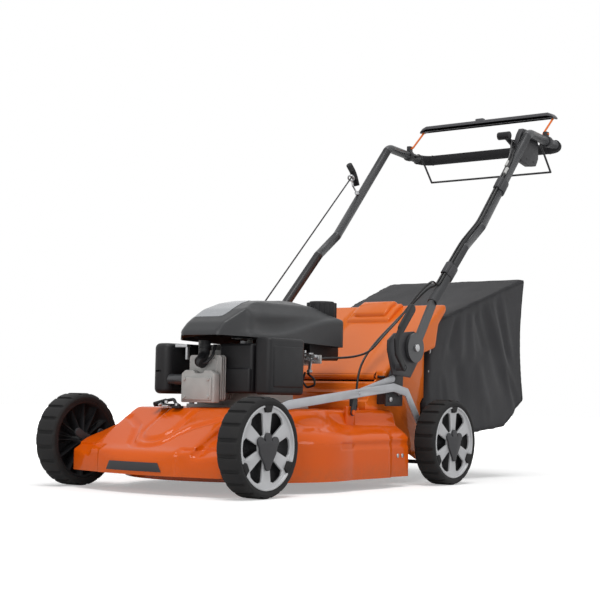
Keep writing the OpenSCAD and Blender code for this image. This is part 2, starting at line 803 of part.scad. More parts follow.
// an L-shaped box around the filter, with a wing across the front
module filter_volume(t) {
    low = 214 + t;
    high = cover_bottom - 2 - t;
    plate_z(low, high) round_square(filter_in + t, filter_front + t, filter_out - t, -110 - t, 12 - t);
    plate_z(low, high + 12) round_square(cover_half + 2 + t, filter_front + t, filter_out - t, -110 - t, 12 - t);
    plate_z(low, high) round_square(wing_in + t, filter_front + t, filter_out - t, -206 - t, 12 - t);
}

module air_filter_cover() machine_frame() color(black) difference() {
    filter_volume(0);
    filter_volume(2.5);
    // inlet towards the carburettor
    rod_x(12, filter_in - 1, filter_in + 5, intake);
    // grooves that frame the lid
    for (y = [-222, -128]) box([filter_out - 1, y, 226], [filter_out + 1, y + 3, 328]);
}

tank_outline = [[-66, tank_front], [-66, 108], [8, 162], [84, 162], [100, 140], [100, tank_front]];

module fuel_tank() machine_frame() color(black) difference() {
    plate_z(tank_bottom, tank_top) polygon(tank_outline);
    plate_z(tank_bottom + 3, tank_top - 3) polygon(inset(tank_outline, 3));
    translate([neck[0], neck[1], tank_top - 10]) cylinder(r = neck_r - 4, h = 20);
}

module filler_neck() machine_frame() color(black) translate([neck[0], neck[1], 0]) difference() {
    union() {
        translate([0, 0, tank_top + seat]) cylinder(r = neck_r + 5, h = 4);
        translate([0, 0, tank_top + seat]) cylinder(r = neck_r, h = neck_top - tank_top - seat);
    }
    translate([0, 0, tank_top]) cylinder(r = neck_r - 4, h = 40);
}

module fuel_cap() machine_frame() color(black) translate([neck[0], neck[1], neck_top]) difference() {
    union() {
        translate([0, 0, -9]) linear_extrude(38) {
            circle(r = cap_r - 1.5);
            for (i = [0 : 17]) rotate(i * 20) translate([cap_r - 2, 0]) circle(r = 2);
        }
        translate([0, 0, 28]) cylinder(r = cap_r - 7, h = 4);
    }
    translate([0, 0, -12]) cylinder(r = neck_r + run, h = 13);
}

// height of the cover's lower edge, which rises towards the front
function cover_low(y) = cover_bottom + cover_rise * (cover_rear - y);

// plan and side outline of the cover; the front right corner is cut away over the muffler
cover_plan = [[-cover_half, -166], [-cover_half, cover_rear - 16], [-cover_half + 16, cover_rear],
    [cover_half - 16, cover_rear], [cover_half, cover_rear - 16], [cover_half, cover_front + 73],
    [cover_half - 39, cover_front], [-4, cover_front]];
cover_side = [[cover_front, cover_low(cover_front)], [cover_front, 350], [-300, 372], [-257, 403],
    [-217, 418], [-177, cover_top - 8], [-73, cover_top - 4], [-60, cover_top], [-23, cover_top - 1],
    [17, cover_top - 14], [57, cover_top - 28], [99, cover_top - 36], [cover_rear, cover_top - 38],
    [cover_rear, cover_bottom]];

// the cover's volume, with every face t further in
module cover_volume(t) intersection() {
    plate_z(cover_bottom - 1, cover_top + 10) polygon(inset(cover_plan, t));
    plate_x(-cover_half, cover_half) polygon(inset(cover_side, t));
    plate_y(cover_front, cover_rear)
        polygon(both_halves([[cover_half - t, cover_bottom], [cover_half - t, cover_top - 44],
            [122 - t, cover_top - 14 - t], [70, cover_top + 4 - t]]));
}

module engine_cover() machine_frame() color(dark) difference() {
    union() {
        difference() {
            cover_volume(0);
            cover_volume(cover_t);
        }
        // stub that carries the starter pulley
        intersection() {
            cover_volume(0);
            translate([0, crank_y, pulley_z - 8]) cylinder(r = 8, h = 120);
        }
        translate([0, crank_y, pulley_z - 10]) cylinder(r = 11, h = 2.5);
    }
    // openings over the fan and around the tank, and the eye of the starter rope
    translate([0, crank_y, cover_bottom - 5]) cylinder(r = flywheel_r + 3, h = 16);
    box([-cover_half + 4, tank_front - 4, cover_bottom - 5],
        [cover_half - 4, cover_rear + 1, cover_low(tank_front) + cover_t + 1]);
    plate_z(cover_bottom - 5, tank_top + 2) polygon(inset(tank_outline, -2));
    translate([neck[0], neck[1], tank_top]) cylinder(r = cap_r + 2.5, h = 60);
    translate([rope_exit[0] + 2, rope_exit[1] - 4, rope_exit[2] - 14]) cylinder(r = 12, h = 40);
}

module flywheel() machine_frame() color(alloy) translate([0, crank_y, 0]) difference() {
    union() {
        translate([0, 0, case_top + 8]) cylinder(r = flywheel_r, h = 12, $fn = 72);
        for (i = [0 : 15])
            rotate(i * 22.5) translate([flywheel_r - 34, -1.5, case_top + 19]) cube([30, 3, 14]);
    }
    translate([0, 0, case_top]) cylinder(r = crank_r + 0.04, h = 40);
}

module starter_pulley() machine_frame() color(black) translate([0, crank_y, 0]) difference() {
    union() {
        translate([0, 0, pulley_z - 7]) cylinder(r = pulley_r + 3, h = 4);
        translate([0, 0, pulley_z - 4]) cylinder(r = pulley_r - rope_r - seat, h = 8);
        translate([0, 0, pulley_z + 3]) cylinder(r = pulley_r + 3, h = 4);
    }
    translate([0, 0, pulley_z - 8]) cylinder(r = 8 + run, h = 20);
}

module crankshaft() machine_frame() color(steel) translate([0, crank_y, 0]) difference() {
    translate([0, 0, hub_floor]) cylinder(r = crank_r, h = pulley_z - 12 - hub_floor);
    translate([0, 0, hub_floor - 1]) cylinder(r = bolt_r + 0.04, h = 32);
}

// ---------------------------------------------------------------- blade and drive

// grooved pulley around Z, its belt plane at belt_z
module belt_pulley(r) translate([0, 0, belt_z])
    rotate_extrude()
        polygon([[0, -8], [r + 6, -8], [r + 6, -6], [r, -4.2], [r, 4.2], [r + 6, 6], [r + 6, 8], [0, 8]]);

module blade_hub() machine_frame() color(grey) translate([0, crank_y, 0]) difference() {
    union() {
        translate([0, 0, blade_z + blade_t]) cylinder(r = 24, h = hub_top - blade_z - blade_t + 1);
        belt_pulley(pulley_crank_r);
    }
    translate([0, 0, hub_floor]) cylinder(r = crank_r + 0.04, h = 100);
    translate([0, 0, blade_z]) cylinder(r = bolt_r + hole, h = 20);
}

module blade() machine_frame() color(steel) translate([0, crank_y, blade_z]) difference() {
    union() {
        linear_extrude(blade_t) intersection() {
            circle(d = cut_d, $fn = 96);
            square([cut_d, blade_w], center = true);
        }
        // lifting wings on the trailing edges
        for (a = [0, 180])
            rotate(a) translate([cut_d / 2 - 100, blade_w / 2 - 4, 0]) cube([78, 4, 18]);
    }
    translate([0, 0, -1]) cylinder(r = bolt_r + hole, h = 10);
}

module blade_bolt() machine_frame() color(steel) translate([0, crank_y, 0]) {
    translate([0, 0, blade_z - 8]) cylinder(r = 9, h = 8, $fn = 6);
    translate([0, 0, blade_z - 1]) cylinder(r = bolt_r, h = 36);
}

// loop around both pulleys, its inner face grow outside the grooves
module belt_loop(grow) {
    r1 = pulley_crank_r + grow;
    r2 = pulley_drive_r + grow;
    far = drive_y - crank_y;
    ny = (r1 - r2) / far;
    nx = sqrt(1 - ny * ny);
    translate([0, crank_y]) circle(r = r1);
    translate([0, drive_y]) circle(r = r2);
    polygon([[-r1 * nx, crank_y + r1 * ny], [r1 * nx, crank_y + r1 * ny],
        [r2 * nx, drive_y + r2 * ny], [-r2 * nx, drive_y + r2 * ny]]);
}

drive_y = rear_pivot[0] - 28;
gearbox_r = 27;
gearbox_top = belt_z - 12;

module drive_belt() machine_frame() color(black) plate_z(belt_z - belt_w / 2, belt_z + belt_w / 2) difference() {
    belt_loop(0.2 + belt_h);
    belt_loop(0.2);
}

module gearbox() machine_frame() color(alloy) difference() {
    union() {
        rod_x(gearbox_r, -38, 38, rear_pivot);
        box([-30, drive_y - 26, 56], [30, rear_pivot[0], gearbox_top]);
        // torque arm to the deck's rear wall
        box([-6, deck_rear + seat, 78], [6, drive_y - 20, 92]);
    }
    rod_x(axle_r + run, -50, 50, rear_pivot);
    translate([0, drive_y, 60]) cylinder(r = axle_r + run, h = 60);
}

module gearbox_pulley() machine_frame() color(grey) translate([0, drive_y, 0]) union() {
    belt_pulley(pulley_drive_r);
    translate([0, 0, 90]) cylinder(r = axle_r, h = 25);
}

module drive_shaft() machine_frame() color(steel) rod_x(axle_r, -gear_in - gear_w - 2, gear_in + gear_w + 2, rear_pivot);

module pinion(side) machine_frame() color(steel) on_side(side)
    translate([gear_in, rear_pivot[0], rear_pivot[1]]) rotate([90, 0, 90]) linear_extrude(gear_w) difference() {
        rotate(-arm_angle)
            polygon(gear_outline(pinion_teeth, pinion_r, pinion_r - dedendum, pinion_r + addendum, tooth_half, pressure));
        circle(r = axle_r + run);
    }

// ---------------------------------------------------------------- height adjustment

// arm outline around its pivot at the origin
module arm_outline() {
    strip([[0, 0], -pivot_step], arm_w + 4);
    strip([[0, 0], pin_step], arm_w - 2);
}

// one arm with its stub axle and its link pin, at a given pivot
module arm(pivot) {
    axle = pivot - pivot_step;
    difference() {
        plate_x(arm_in, arm_out) translate(pivot) arm_outline();
        rod_x(axle_r + run, arm_in - 1, arm_out + 1, pivot);
    }
    rod_x(axle_r, arm_in, wheel_out - 6, axle);
    rod_x(stub_head_r, wheel_out - 10, wheel_out - 10 + stub_head_t, axle);
}

// pin on an arm that carries the left link
module link_pin(pivot) rod_x(link_pin_r, link_in - 1.5, arm_in + 1, pivot + pin_step);

module front_arms() machine_frame() color(dark) {
    both_sides() {
        arm(front_pivot);
        // end of the shaft, welded into the arm
        rod_x(axle_r + 1, arm_in - 1, arm_out, front_pivot);
        // ear in front of the axle
        plate_x(arm_in, arm_out) strip([front_axle, front_axle + [-30, 17]], arm_w - 2);
    }
    // the shaft makes both arms turn as one
    rod_x(axle_r, -arm_in, arm_in, front_pivot);
    link_pin(front_pivot);
}

module rear_arms() machine_frame() color(dark) {
    both_sides() {
        arm(rear_pivot);
        plate_x(arm_in, arm_out) strip([rear_pivot + 0.45 * sway_step, rear_pivot + sway_step], arm_w - 4);
    }
    rod_x(sway_r, -arm_in - 1, arm_in + 1, rear_pivot + sway_step);
    link_pin(rear_pivot);
}

link_path = concat([front_pin], [[-298, 148], [-250, 184], [-219, 193], [-13, 215], [195, 237], [253, 226],
    [287, 184], [313, 151], [345, 142]], [rear_pin]);

module height_link() machine_frame() color(alloy) difference() {
    plate_x(link_in, link_out) strip(link_path, link_w);
    rod_x(link_pin_r + run, link_in - 1, link_out + 1, rear_pin);
    rod_x(link_pin_r + loose, link_in - 1, link_out + 1, front_pin);
    rod_x(link_pin_r + loose, link_in - 1, link_out + 1, lever_pin);
}

module height_lever() machine_frame() color(alloy) difference() {
    union() {
        plate_x(lever_in, lever_out) strip([lever_pivot, lever_pin, lever_pin + [14, 2], lever_tip], lever_w);
        rod_x(link_pin_r, lever_in, link_out + 1, lever_pin);
    }
    rod_x(axle_r + run, lever_in - 1, lever_out + 1, lever_pivot);
}

// ---------------------------------------------------------------- wheels

// everything about a wheel's own axis, lying along X
module at_axle(side, axle) machine_frame() on_side(side) translate([0, axle[0], axle[1]]) children();

module turned_x(profile) rotate([90, 0, 90]) rotate_extrude($fn = 96) polygon(profile);

module tyre(side, axle) at_axle(side, axle) color(black) difference() {
    turned_x([[rim_r + 0.1, wheel_in + 2], [wheel_r - 9, wheel_in], [wheel_r - 3, wheel_in + 3],
        [wheel_r, wheel_in + 9], [wheel_r, wheel_out - 9], [wheel_r - 3, wheel_out - 3],
        [wheel_r - 9, wheel_out], [rim_r + 0.1, wheel_out - 2]]);
    for (i = [0 : lug_count - 1])
        rotate([(i + 0.5) * 360 / lug_count, 0, 0])
            translate([wheel_in - 1, -4, wheel_r - lug_depth]) cube([tyre_w + 2, 8, lug_depth + 2]);
}

window = [[28, -5], [28, 5], [68, 22], [76, 14], [78, 0], [76, -14], [68, -22]];

module rim_core(ring) difference() {
    union() {
        // band under the tyre, web and hub
        turned_x([[rim_r - 6, wheel_in + 3], [rim_r, wheel_in + 3], [rim_r, wheel_out - 12], [rim_r - 6, wheel_out - 12]]);
        turned_x([[axle_r + run, wheel_out - 27], [rim_r - 5, wheel_out - 27], [rim_r - 5, wheel_out - 23],
            [axle_r + run, wheel_out - 23]]);
        turned_x([[axle_r + run, wheel_in + 1], [16, wheel_in + 1], [16, wheel_out - 12],
            [axle_r + run, wheel_out - 12]]);
        // ribs on the inner side
        for (i = [0 : 11]) rotate([i * 30, 0, 0])
            box([ring ? gear_in + gear_w + 4 : wheel_in + 8, -0.8, ring ? drum_r + 1 : 15], [wheel_out - 26, 0.8, rim_r - 5]);
        // toothed ring of a driven wheel
        if (ring) turned_x([[ring_r - addendum - 1, gear_in], [drum_r + ring_wall, gear_in],
            [drum_r + ring_wall, wheel_out - 26], [drum_r, wheel_out - 26],
            [drum_r, gear_in + gear_w + 2], [ring_r - addendum - 1, gear_in + gear_w + 2]]);
    }
    if (ring) translate([gear_in - 1, 0, 0]) rotate([90, 0, 90]) linear_extrude(gear_w + 3.5)
        rotate(-arm_angle)
            polygon(gear_outline(ring_teeth, ring_r, ring_r - addendum, ring_r + dedendum,
                gear_module * PI / 2 - tooth_half, pressure));
}

module rim(side, axle, ring) at_axle(side, axle) {
    color(black) rim_core(ring);
    // light cover with its spokes
    color(alloy) difference() {
        union() {
            turned_x([[stub_head_r + 2, wheel_out - 12 + seat], [rim_r, wheel_out - 12 + seat],
                [rim_r, wheel_out - 6], [stub_head_r + 2, wheel_out - 6]]);
            turned_x([[rim_r - 4, wheel_out - 7], [rim_r, wheel_out - 7], [rim_r, wheel_out - 1], [rim_r - 4, wheel_out - 1]]);
        }
        for (i = [0 : 5]) rotate([i * 60, 0, 0]) plate_x(wheel_out - 14, wheel_out - 4) polygon(window);
        for (i = [0 : 2]) rotate([90 + i * 120, 0, 0])
            plate_x(wheel_out - 8, wheel_out + 1) polygon([[rim_r - 15, -9], [rim_r - 15, 9], [rim_r + 1, 15], [rim_r + 1, -15]]);
    }
    // shield-shaped cap over the axle's end
    color(dark) difference() {
        plate_x(wheel_out - 6 + seat, wheel_out - 0.5) {
            for (y = [-24, 0, 24]) translate([y, 20 - abs(y) / 3]) circle(r = 11);
            polygon([[-34, 14], [34, 14], [26, -12], [9, -38], [-9, -38], [-26, -12]]);
            translate([0, -38]) circle(r = 9);
        }
    }
}

// ---------------------------------------------------------------- handle

leg_points = [for (p = leg) [tube_half, p[0], p[1]]];
left_points = concat(leg_points, [[tube_half, grip_y, grip_z]]);
loop_points = concat(left_points, [for (i = [len(left_points) - 1 : -1 : 0])
    [-left_points[i][0], left_points[i][1], left_points[i][2]]]);
leg_end = leg[len(leg) - 1];
grip_slope = (grip_z - leg_end[1]) / (grip_y - leg_end[0]);

// point of the nearly level end of the leg, at a given Y
function on_top(y) = [tube_half, y, leg_end[1] + (y - leg_end[0]) * grip_slope];
grip_points = [on_top(grip_y - corner_r - 2), [tube_half, grip_y, grip_z],
    [-tube_half, grip_y, grip_z], [-tube_half, grip_y - corner_r - 2, on_top(grip_y - corner_r - 2)[2]]];

module handle_tube() machine_frame() color(grey) difference() {
    union() {
        difference() {
            pipe(loop_points, tube_r, corner_r);
            pipe(loop_points, tube_r - tube_t, corner_r);
        }
        // flattened ends that turn on the pivot bolts
        both_sides() plate_x(knuckle_in, knuckle_in + knuckle_t) {
            translate(fold_pivot) circle(r = disc_r);
            strip([fold_pivot, [347, 446]], 26);
        }
    }
    both_sides() rod_x(bolt_r + run, knuckle_in - 1, knuckle_in + knuckle_t + 1, fold_pivot);
    both_sides() rod_x(wire_r + run, tube_half - tube_r - 1, tube_half - 2, drive_pivot);
}

module handle_grip() machine_frame() color(black) difference() {
    pipe(grip_points, grip_r, corner_r);
    pipe(grip_points, tube_r + 0.05, corner_r);
}

// collar around the tube and both cables, its middle at p
module clip(p, angle) translate([0, p[0], p[1]]) rotate([angle, 0, 0]) rotate([-90, 0, 0])
    translate([0, 0, -clip_len / 2]) linear_extrude(clip_len) difference() {
        union() {
            translate([tube_half, 0]) circle(r = tube_r + clip_t);
            translate([tube_half, -cable_off]) strip([[-cable_gap, 0], [cable_gap, 0]], 2 * cable_r + 5);
        }
        translate([tube_half, 0]) circle(r = tube_r + 0.1);
        for (x = [-cable_gap, cable_gap]) translate([tube_half + x, -cable_off]) circle(r = cable_r + 0.3);
    }

module cable_clips() machine_frame() color(dark) {
    clip(on_leg(0, 0.52), leg_angle(0));
    clip(on_leg(2, 0.4), leg_angle(2));
    // ears of the brake bail on the tube
    both_sides() difference() {
        union() {
            translate([tube_half, brake_pivot[0] - 8, 954]) rotate([-90, 0, 0]) cylinder(r = tube_r + clip_t, h = 16);
            box([tube_half - 9, brake_pivot[0] - 8, 955], [tube_half + 3, brake_pivot[0] + 8, brake_pivot[1] + 7]);
        }
        rod(on_top(brake_pivot[0] - 30), on_top(brake_pivot[0] + 30), tube_r + 0.1);
        rod_x(wire_r + run, tube_half - 20, tube_half + 20, brake_pivot);
    }
}

module brake_bail() machine_frame() {
    color(grey) plate_y(brake_bar[0] - bar_w / 2, brake_bar[0] + bar_w / 2)
        strip([[-bail_half + 7, brake_bar[1] - 9], [-bail_half + 18, brake_bar[1]],
            [bail_half - 18, brake_bar[1]], [bail_half - 7, brake_bar[1] - 9]], bar_h);
    color(grey) box([-34, brake_bar[0] - 10, brake_bar[1] + 5], [-8, brake_bar[0] + 4, brake_bar[1] + 14]);
    color(paint) both_sides() {
        x = tube_half - tube_r - 1;
        bent_bar([[x, brake_pivot[0], brake_pivot[1]], [x, brake_bar[0] - 2, brake_bar[1] - 12]], wire_r);
        rod_x(wire_r, x, tube_half + 6, brake_pivot);
    }
}

module drive_bail() machine_frame() color(black) {
    bent_bar([[drive_half, drive_pivot[0], drive_pivot[1]], [drive_half, drive_low[0], drive_low[1]],
        [-drive_half, drive_low[0], drive_low[1]], [-drive_half, drive_pivot[0], drive_pivot[1]]], wire_r);
    both_sides() rod_x(wire_r, drive_half, tube_half - 6, drive_pivot);
}

module control_housing() machine_frame() color(black) {
    plate_x(housing_out - housing_t, housing_out)
        polygon([[814, 925], [832, 958], [846, 975], [902, 975], [930, 958], [939, 944], [939, 900],
            [926, 878], [884, 872], [838, 880], [814, 902]]);
    rod_x(stud_r, housing_out - housing_t - 12, housing_out - housing_t + 1, speed_pivot);
}

module speed_lever() machine_frame() color(black) {
    x = housing_out - housing_t - 1;
    difference() {
        plate_x(x - 6, x) strip([speed_pivot, speed_tip], 16);
        rod_x(stud_r + run, x - 7, x + 1, speed_pivot);
    }
    rod_x(11, x - 24, x + 12, speed_tip);
}

module control_cables() machine_frame() color(black) {
    swept(smooth(drive_route, 2), cable_r);
    swept(smooth(brake_route, 2), cable_r);
}

guide_foot = on_leg(2, 0.42);
rope_dir = (rope_ring - rope_exit) / norm(rope_ring - rope_exit);

module rope_guide() machine_frame() color(steel) {
    foot = [-tube_half, guide_foot[0], guide_foot[1]];
    rise = [0, -sin(leg_angle(2)), cos(leg_angle(2))];
    // eye around the rope
    translate(rope_ring) rotate([0, acos(rope_dir[2]), atan2(rope_dir[1], rope_dir[0])])
        rotate_extrude() translate([ring_in + guide_r, 0]) circle(r = guide_r, $fn = 24);
    // stem down to the tube, with a nut on it
    low = rope_ring + (ring_in + guide_r) * unit([0, rope_dir[2], -rope_dir[1]]);
    pipe([low, low + [-1, 6, -14], foot + rise * (tube_r + 3)], guide_r, 6);
    rod(foot + rise * (tube_r + 0.3), foot + rise * (tube_r + 9), 6);
}

module starter_rope() machine_frame() color(dark) {
    away = rope_exit - [0, crank_y, pulley_z];
    turn = atan2(away[1], away[0]) + acos(pulley_r / norm([away[0], away[1]]));
    leave = [pulley_r * cos(turn), crank_y + pulley_r * sin(turn), pulley_z];
    level = leave + 0.2 * [rope_exit[0] - leave[0], rope_exit[1] - leave[1], 0];
    pipe([leave, level, rope_exit, rope_ring + 9.8 * rope_dir], rope_r, 12);
}

module starter_handle() machine_frame() color(black) {
    centre = rope_ring + 26 * rope_dir;
    across = [0, -rope_dir[2], rope_dir[1]] / norm([0, rope_dir[2], rope_dir[1]]);
    rod(rope_ring + 10 * rope_dir, centre, 6);
    pipe([centre - 34 * across - 8 * rope_dir, centre + 2 * rope_dir, centre + 34 * across - 8 * rope_dir], 9, 60);
}

// ---------------------------------------------------------------- grass bag

// plan outline of the bag, with its side walls t further in
module bag_plan(t) polygon([[-bag_front_half + t, 380], [bag_front_half - t, 380], [bag_front_half - t, door_end[0]],
    [bag_rear_half - t, bag_rear + 1], [-bag_rear_half + t, bag_rear + 1], [-bag_front_half + t, door_end[0]]]);

module bag_cloth() machine_frame() color(cloth) difference() {
    intersection() {
        plate_x(-300, 300) polygon(bag_profile);
        plate_z(0, 700) bag_plan(0);
    }
    intersection() {
        union() {
            plate_x(-300, 300) polygon(inset(bag_profile, bag_t));
            // the mouth
            plate_x(-300, 300) polygon([[380, 403], [440, 403], [440, 152], [380, 190]]);
        }
        difference() {
            plate_z(0, 700) bag_plan(bag_t);
            // cloth that closes the bottom in front
            plate_x(-300, 300) polygon([[404, 188], [440, 150], [441.5, 151.5], [405.5, 189.5], [380, 210], [380, 100], [440, 100]]);
        }
    }
}

module bag_frame() machine_frame() {
    x = bag_front_half - bag_t - seat - frame_r;
    high = [434, lip_top + seat + frame_r];
    low = [414, 200];
    color(steel) {
        // hooks that hang on the lip of the chute
        both_sides() box([110, chute_end - chute_lip + 4, lip_top + seat], [140, high[0], lip_top + seat + 3]);
        pipe([[0, high[0], high[1]], [x, high[0], high[1]], [x, low[0], low[1]], [-x, low[0], low[1]],
            [-x, high[0], high[1]], [0, high[0], high[1]]], frame_r, 16);
    }
    // carrying handle on top
    color(black) pipe([[45, 505, 434], [45, 514, 456], [-45, 514, 456], [-45, 505, 434]], 4, 14);
}

// ---------------------------------------------------------------- fasteners

module fasteners() machine_frame() color(steel) {
    for (b = engine_bolts) translate([b[0], b[1], 0]) {
        translate([0, 0, plate_top]) cylinder(r = 7, h = 6, $fn = 6);
        translate([0, 0, deck_top - 9]) cylinder(r = engine_bolt_r, h = plate_top - deck_top + 10);
        translate([0, 0, deck_top - deck_t - 6]) cylinder(r = 7, h = 6, $fn = 6);
    }
    both_sides() {
        for (r = rivets) {
            rod_x(rivet_r, rear_half - 4, rear_half + 1, r);
            rod_x(5, rear_half, rear_half + 2, r);
        }
        // pivot bolts of the handle
        rod_x(bolt_r, upper_out - bracket_t - 5, knuckle_in + knuckle_t + 1, fold_pivot);
        rod_x(bolt_head_r, knuckle_in + knuckle_t, knuckle_in + knuckle_t + bolt_head_t, fold_pivot);
        rod_x(bolt_head_r, upper_out - bracket_t - 5, upper_out - bracket_t, fold_pivot);
        // bolts of the bracket feet
        for (b = foot_bolts) {
            rod_x(3, chute_half - chute_t - 4, lower_in + bracket_t + 1, b);
            rod_x(6, lower_in + bracket_t, lower_in + bracket_t + 4, b);
            rod_x(6, chute_half - chute_t - 4, chute_half - chute_t, b);
        }
    }
}

// ---------------------------------------------------------------- nodes

deck();
front_insert();
chute();
rear_door();
door_rod();
wash_nozzle();
handle_brackets();
release_lever(1);  // release_lever_left
release_lever(-1);  // release_lever_right
crankcase();
cylinder_head();
valve_cover();
spark_plug();
muffler();
muffler_guard();
carburettor();
air_filter_cover();
fuel_tank();
filler_neck();
fuel_cap();
engine_cover();
flywheel();
starter_pulley();
crankshaft();
blade_hub();
blade();
blade_bolt();
drive_belt();
gearbox();
gearbox_pulley();
drive_shaft();
pinion(1);  // pinion_left
pinion(-1);  // pinion_right
rear_arms();
front_arms();
height_link();
height_lever();
tyre(1, front_axle);  // tyre_front_left
tyre(-1, front_axle);  // tyre_front_right
tyre(1, rear_axle);  // tyre_rear_left
tyre(-1, rear_axle);  // tyre_rear_right
rim(1, front_axle, false);  // rim_front_left
rim(-1, front_axle, false);  // rim_front_right
rim(1, rear_axle, true);  // rim_rear_left
rim(-1, rear_axle, true);  // rim_rear_right
handle_tube();
handle_grip();
brake_bail();
drive_bail();
control_housing();
speed_lever();
cable_clips();
control_cables();
rope_guide();
starter_rope();
starter_handle();
bag_cloth();
bag_frame();
fasteners();
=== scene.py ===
# %% [markdown]
# # Dressing a rear-discharge lawn mower
# The solids of the mower are already drawn and packed: their sizes, places and joints are fixed.
# This lesson gives them the skins, seams and finishes of the real machine.

# %% Load the drawn solids
import json
import math
import bpy
import bmesh
from mathutils import Matrix, Vector, noise
from mathutils.bvhtree import BVHTree


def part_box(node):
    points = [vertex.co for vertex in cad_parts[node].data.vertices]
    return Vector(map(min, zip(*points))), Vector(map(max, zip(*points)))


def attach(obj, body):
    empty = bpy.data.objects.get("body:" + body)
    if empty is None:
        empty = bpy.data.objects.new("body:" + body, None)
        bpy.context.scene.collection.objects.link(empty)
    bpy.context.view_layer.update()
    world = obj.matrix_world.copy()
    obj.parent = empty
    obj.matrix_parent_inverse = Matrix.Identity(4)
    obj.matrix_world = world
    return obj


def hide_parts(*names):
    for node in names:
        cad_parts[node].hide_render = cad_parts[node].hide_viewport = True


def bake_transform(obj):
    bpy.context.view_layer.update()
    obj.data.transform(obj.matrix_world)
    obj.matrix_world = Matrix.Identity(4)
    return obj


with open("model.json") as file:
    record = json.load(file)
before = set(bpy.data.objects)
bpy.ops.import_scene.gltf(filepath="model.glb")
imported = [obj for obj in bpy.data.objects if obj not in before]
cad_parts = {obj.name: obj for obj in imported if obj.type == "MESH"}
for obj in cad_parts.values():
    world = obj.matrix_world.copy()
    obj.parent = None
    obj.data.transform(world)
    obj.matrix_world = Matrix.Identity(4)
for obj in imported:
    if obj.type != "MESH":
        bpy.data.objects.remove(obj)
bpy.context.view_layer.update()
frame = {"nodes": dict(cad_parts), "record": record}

nodes = frame["nodes"]
bodies = frame["record"]["behaviour"]["bodies"]
body_of = {node: body for body, group in bodies.items() for node in group}

# %% [markdown]
# Drawings of a mower count from the middle of the wheelbase, in millimetres. The frame counts from
# the middle of the whole machine, in metres. One small function goes from the first to the second,
# and the tyres say how far apart the two middles are. A second function goes back.

# %% Millimetres from the middle of the wheelbase
tyre_boxes = [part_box("tyre_front_left"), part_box("tyre_rear_left")]
middle = sum(low.y + high.y for low, high in tyre_boxes) / 4


def at(x, y, z):
    """A point in millimetres, y from the middle of the wheelbase, as a place in the frame."""
    return Vector((x / 1000, y / 1000 + middle, z / 1000))


def measured(place):
    """A place in the frame as a point in millimetres."""
    return place[0] * 1000, (place[1] - middle) * 1000, place[2] * 1000


print("the wheelbase is centred at y =", round(middle, 4))

# %% [markdown]
# The camera comes first, because everything else is judged through it. It stands low in front of
# the machine's left side, a few metres away with a long lens, as for a catalogue picture, so that
# the wheels and the handle keep their proportions.

# %% Camera
camera_place, lens, film_width = (2.0901, -2.9413, 0.2163), 84.32, 36.0
turn_left, tilt_up, roll = 0.648, 0.067, 0.019
camera = bpy.data.objects.new("camera", bpy.data.cameras.new("camera"))
bpy.context.scene.collection.objects.link(camera)
camera.data.lens, camera.data.sensor_width = lens, film_width
camera.data.clip_end = 50
camera.matrix_world = (Matrix.Translation(camera_place) @ Matrix.Rotation(turn_left, 4, "Z")
                       @ Matrix.Rotation(math.pi / 2 + tilt_up, 4, "X") @ Matrix.Rotation(roll, 4, "Z"))
bpy.context.scene.camera = camera
print("camera at", tuple(round(c, 2) for c in camera_place), "with a lens of", lens, "mm")

# %% [markdown]
# A material is a small machine made of nodes. Adding two signals by hand takes a Math node and two
# links, so a little class does it: it wraps a socket, and Python's own + - * put the node in.
# The second class holds one material with its Principled shader, and one method for every other
# kind of node.

# %% Shader sums as Python sums
class Signal:
    """A number or colour on its way through a material."""

    def __init__(self, finish, socket):
        self.finish, self.socket = finish, socket

    def sum(self, operation, first, second):
        return self.finish.node("Math", {"operation": operation}, {0: first, 1: second})

    def __add__(self, other):
        return self.sum("ADD", self, other)

    def __sub__(self, other):
        return self.sum("SUBTRACT", self, other)

    def __rsub__(self, other):
        return self.sum("SUBTRACT", other, self)

    def __mul__(self, other):
        return self.sum("MULTIPLY", self, other)

    __radd__, __rmul__ = __add__, __mul__


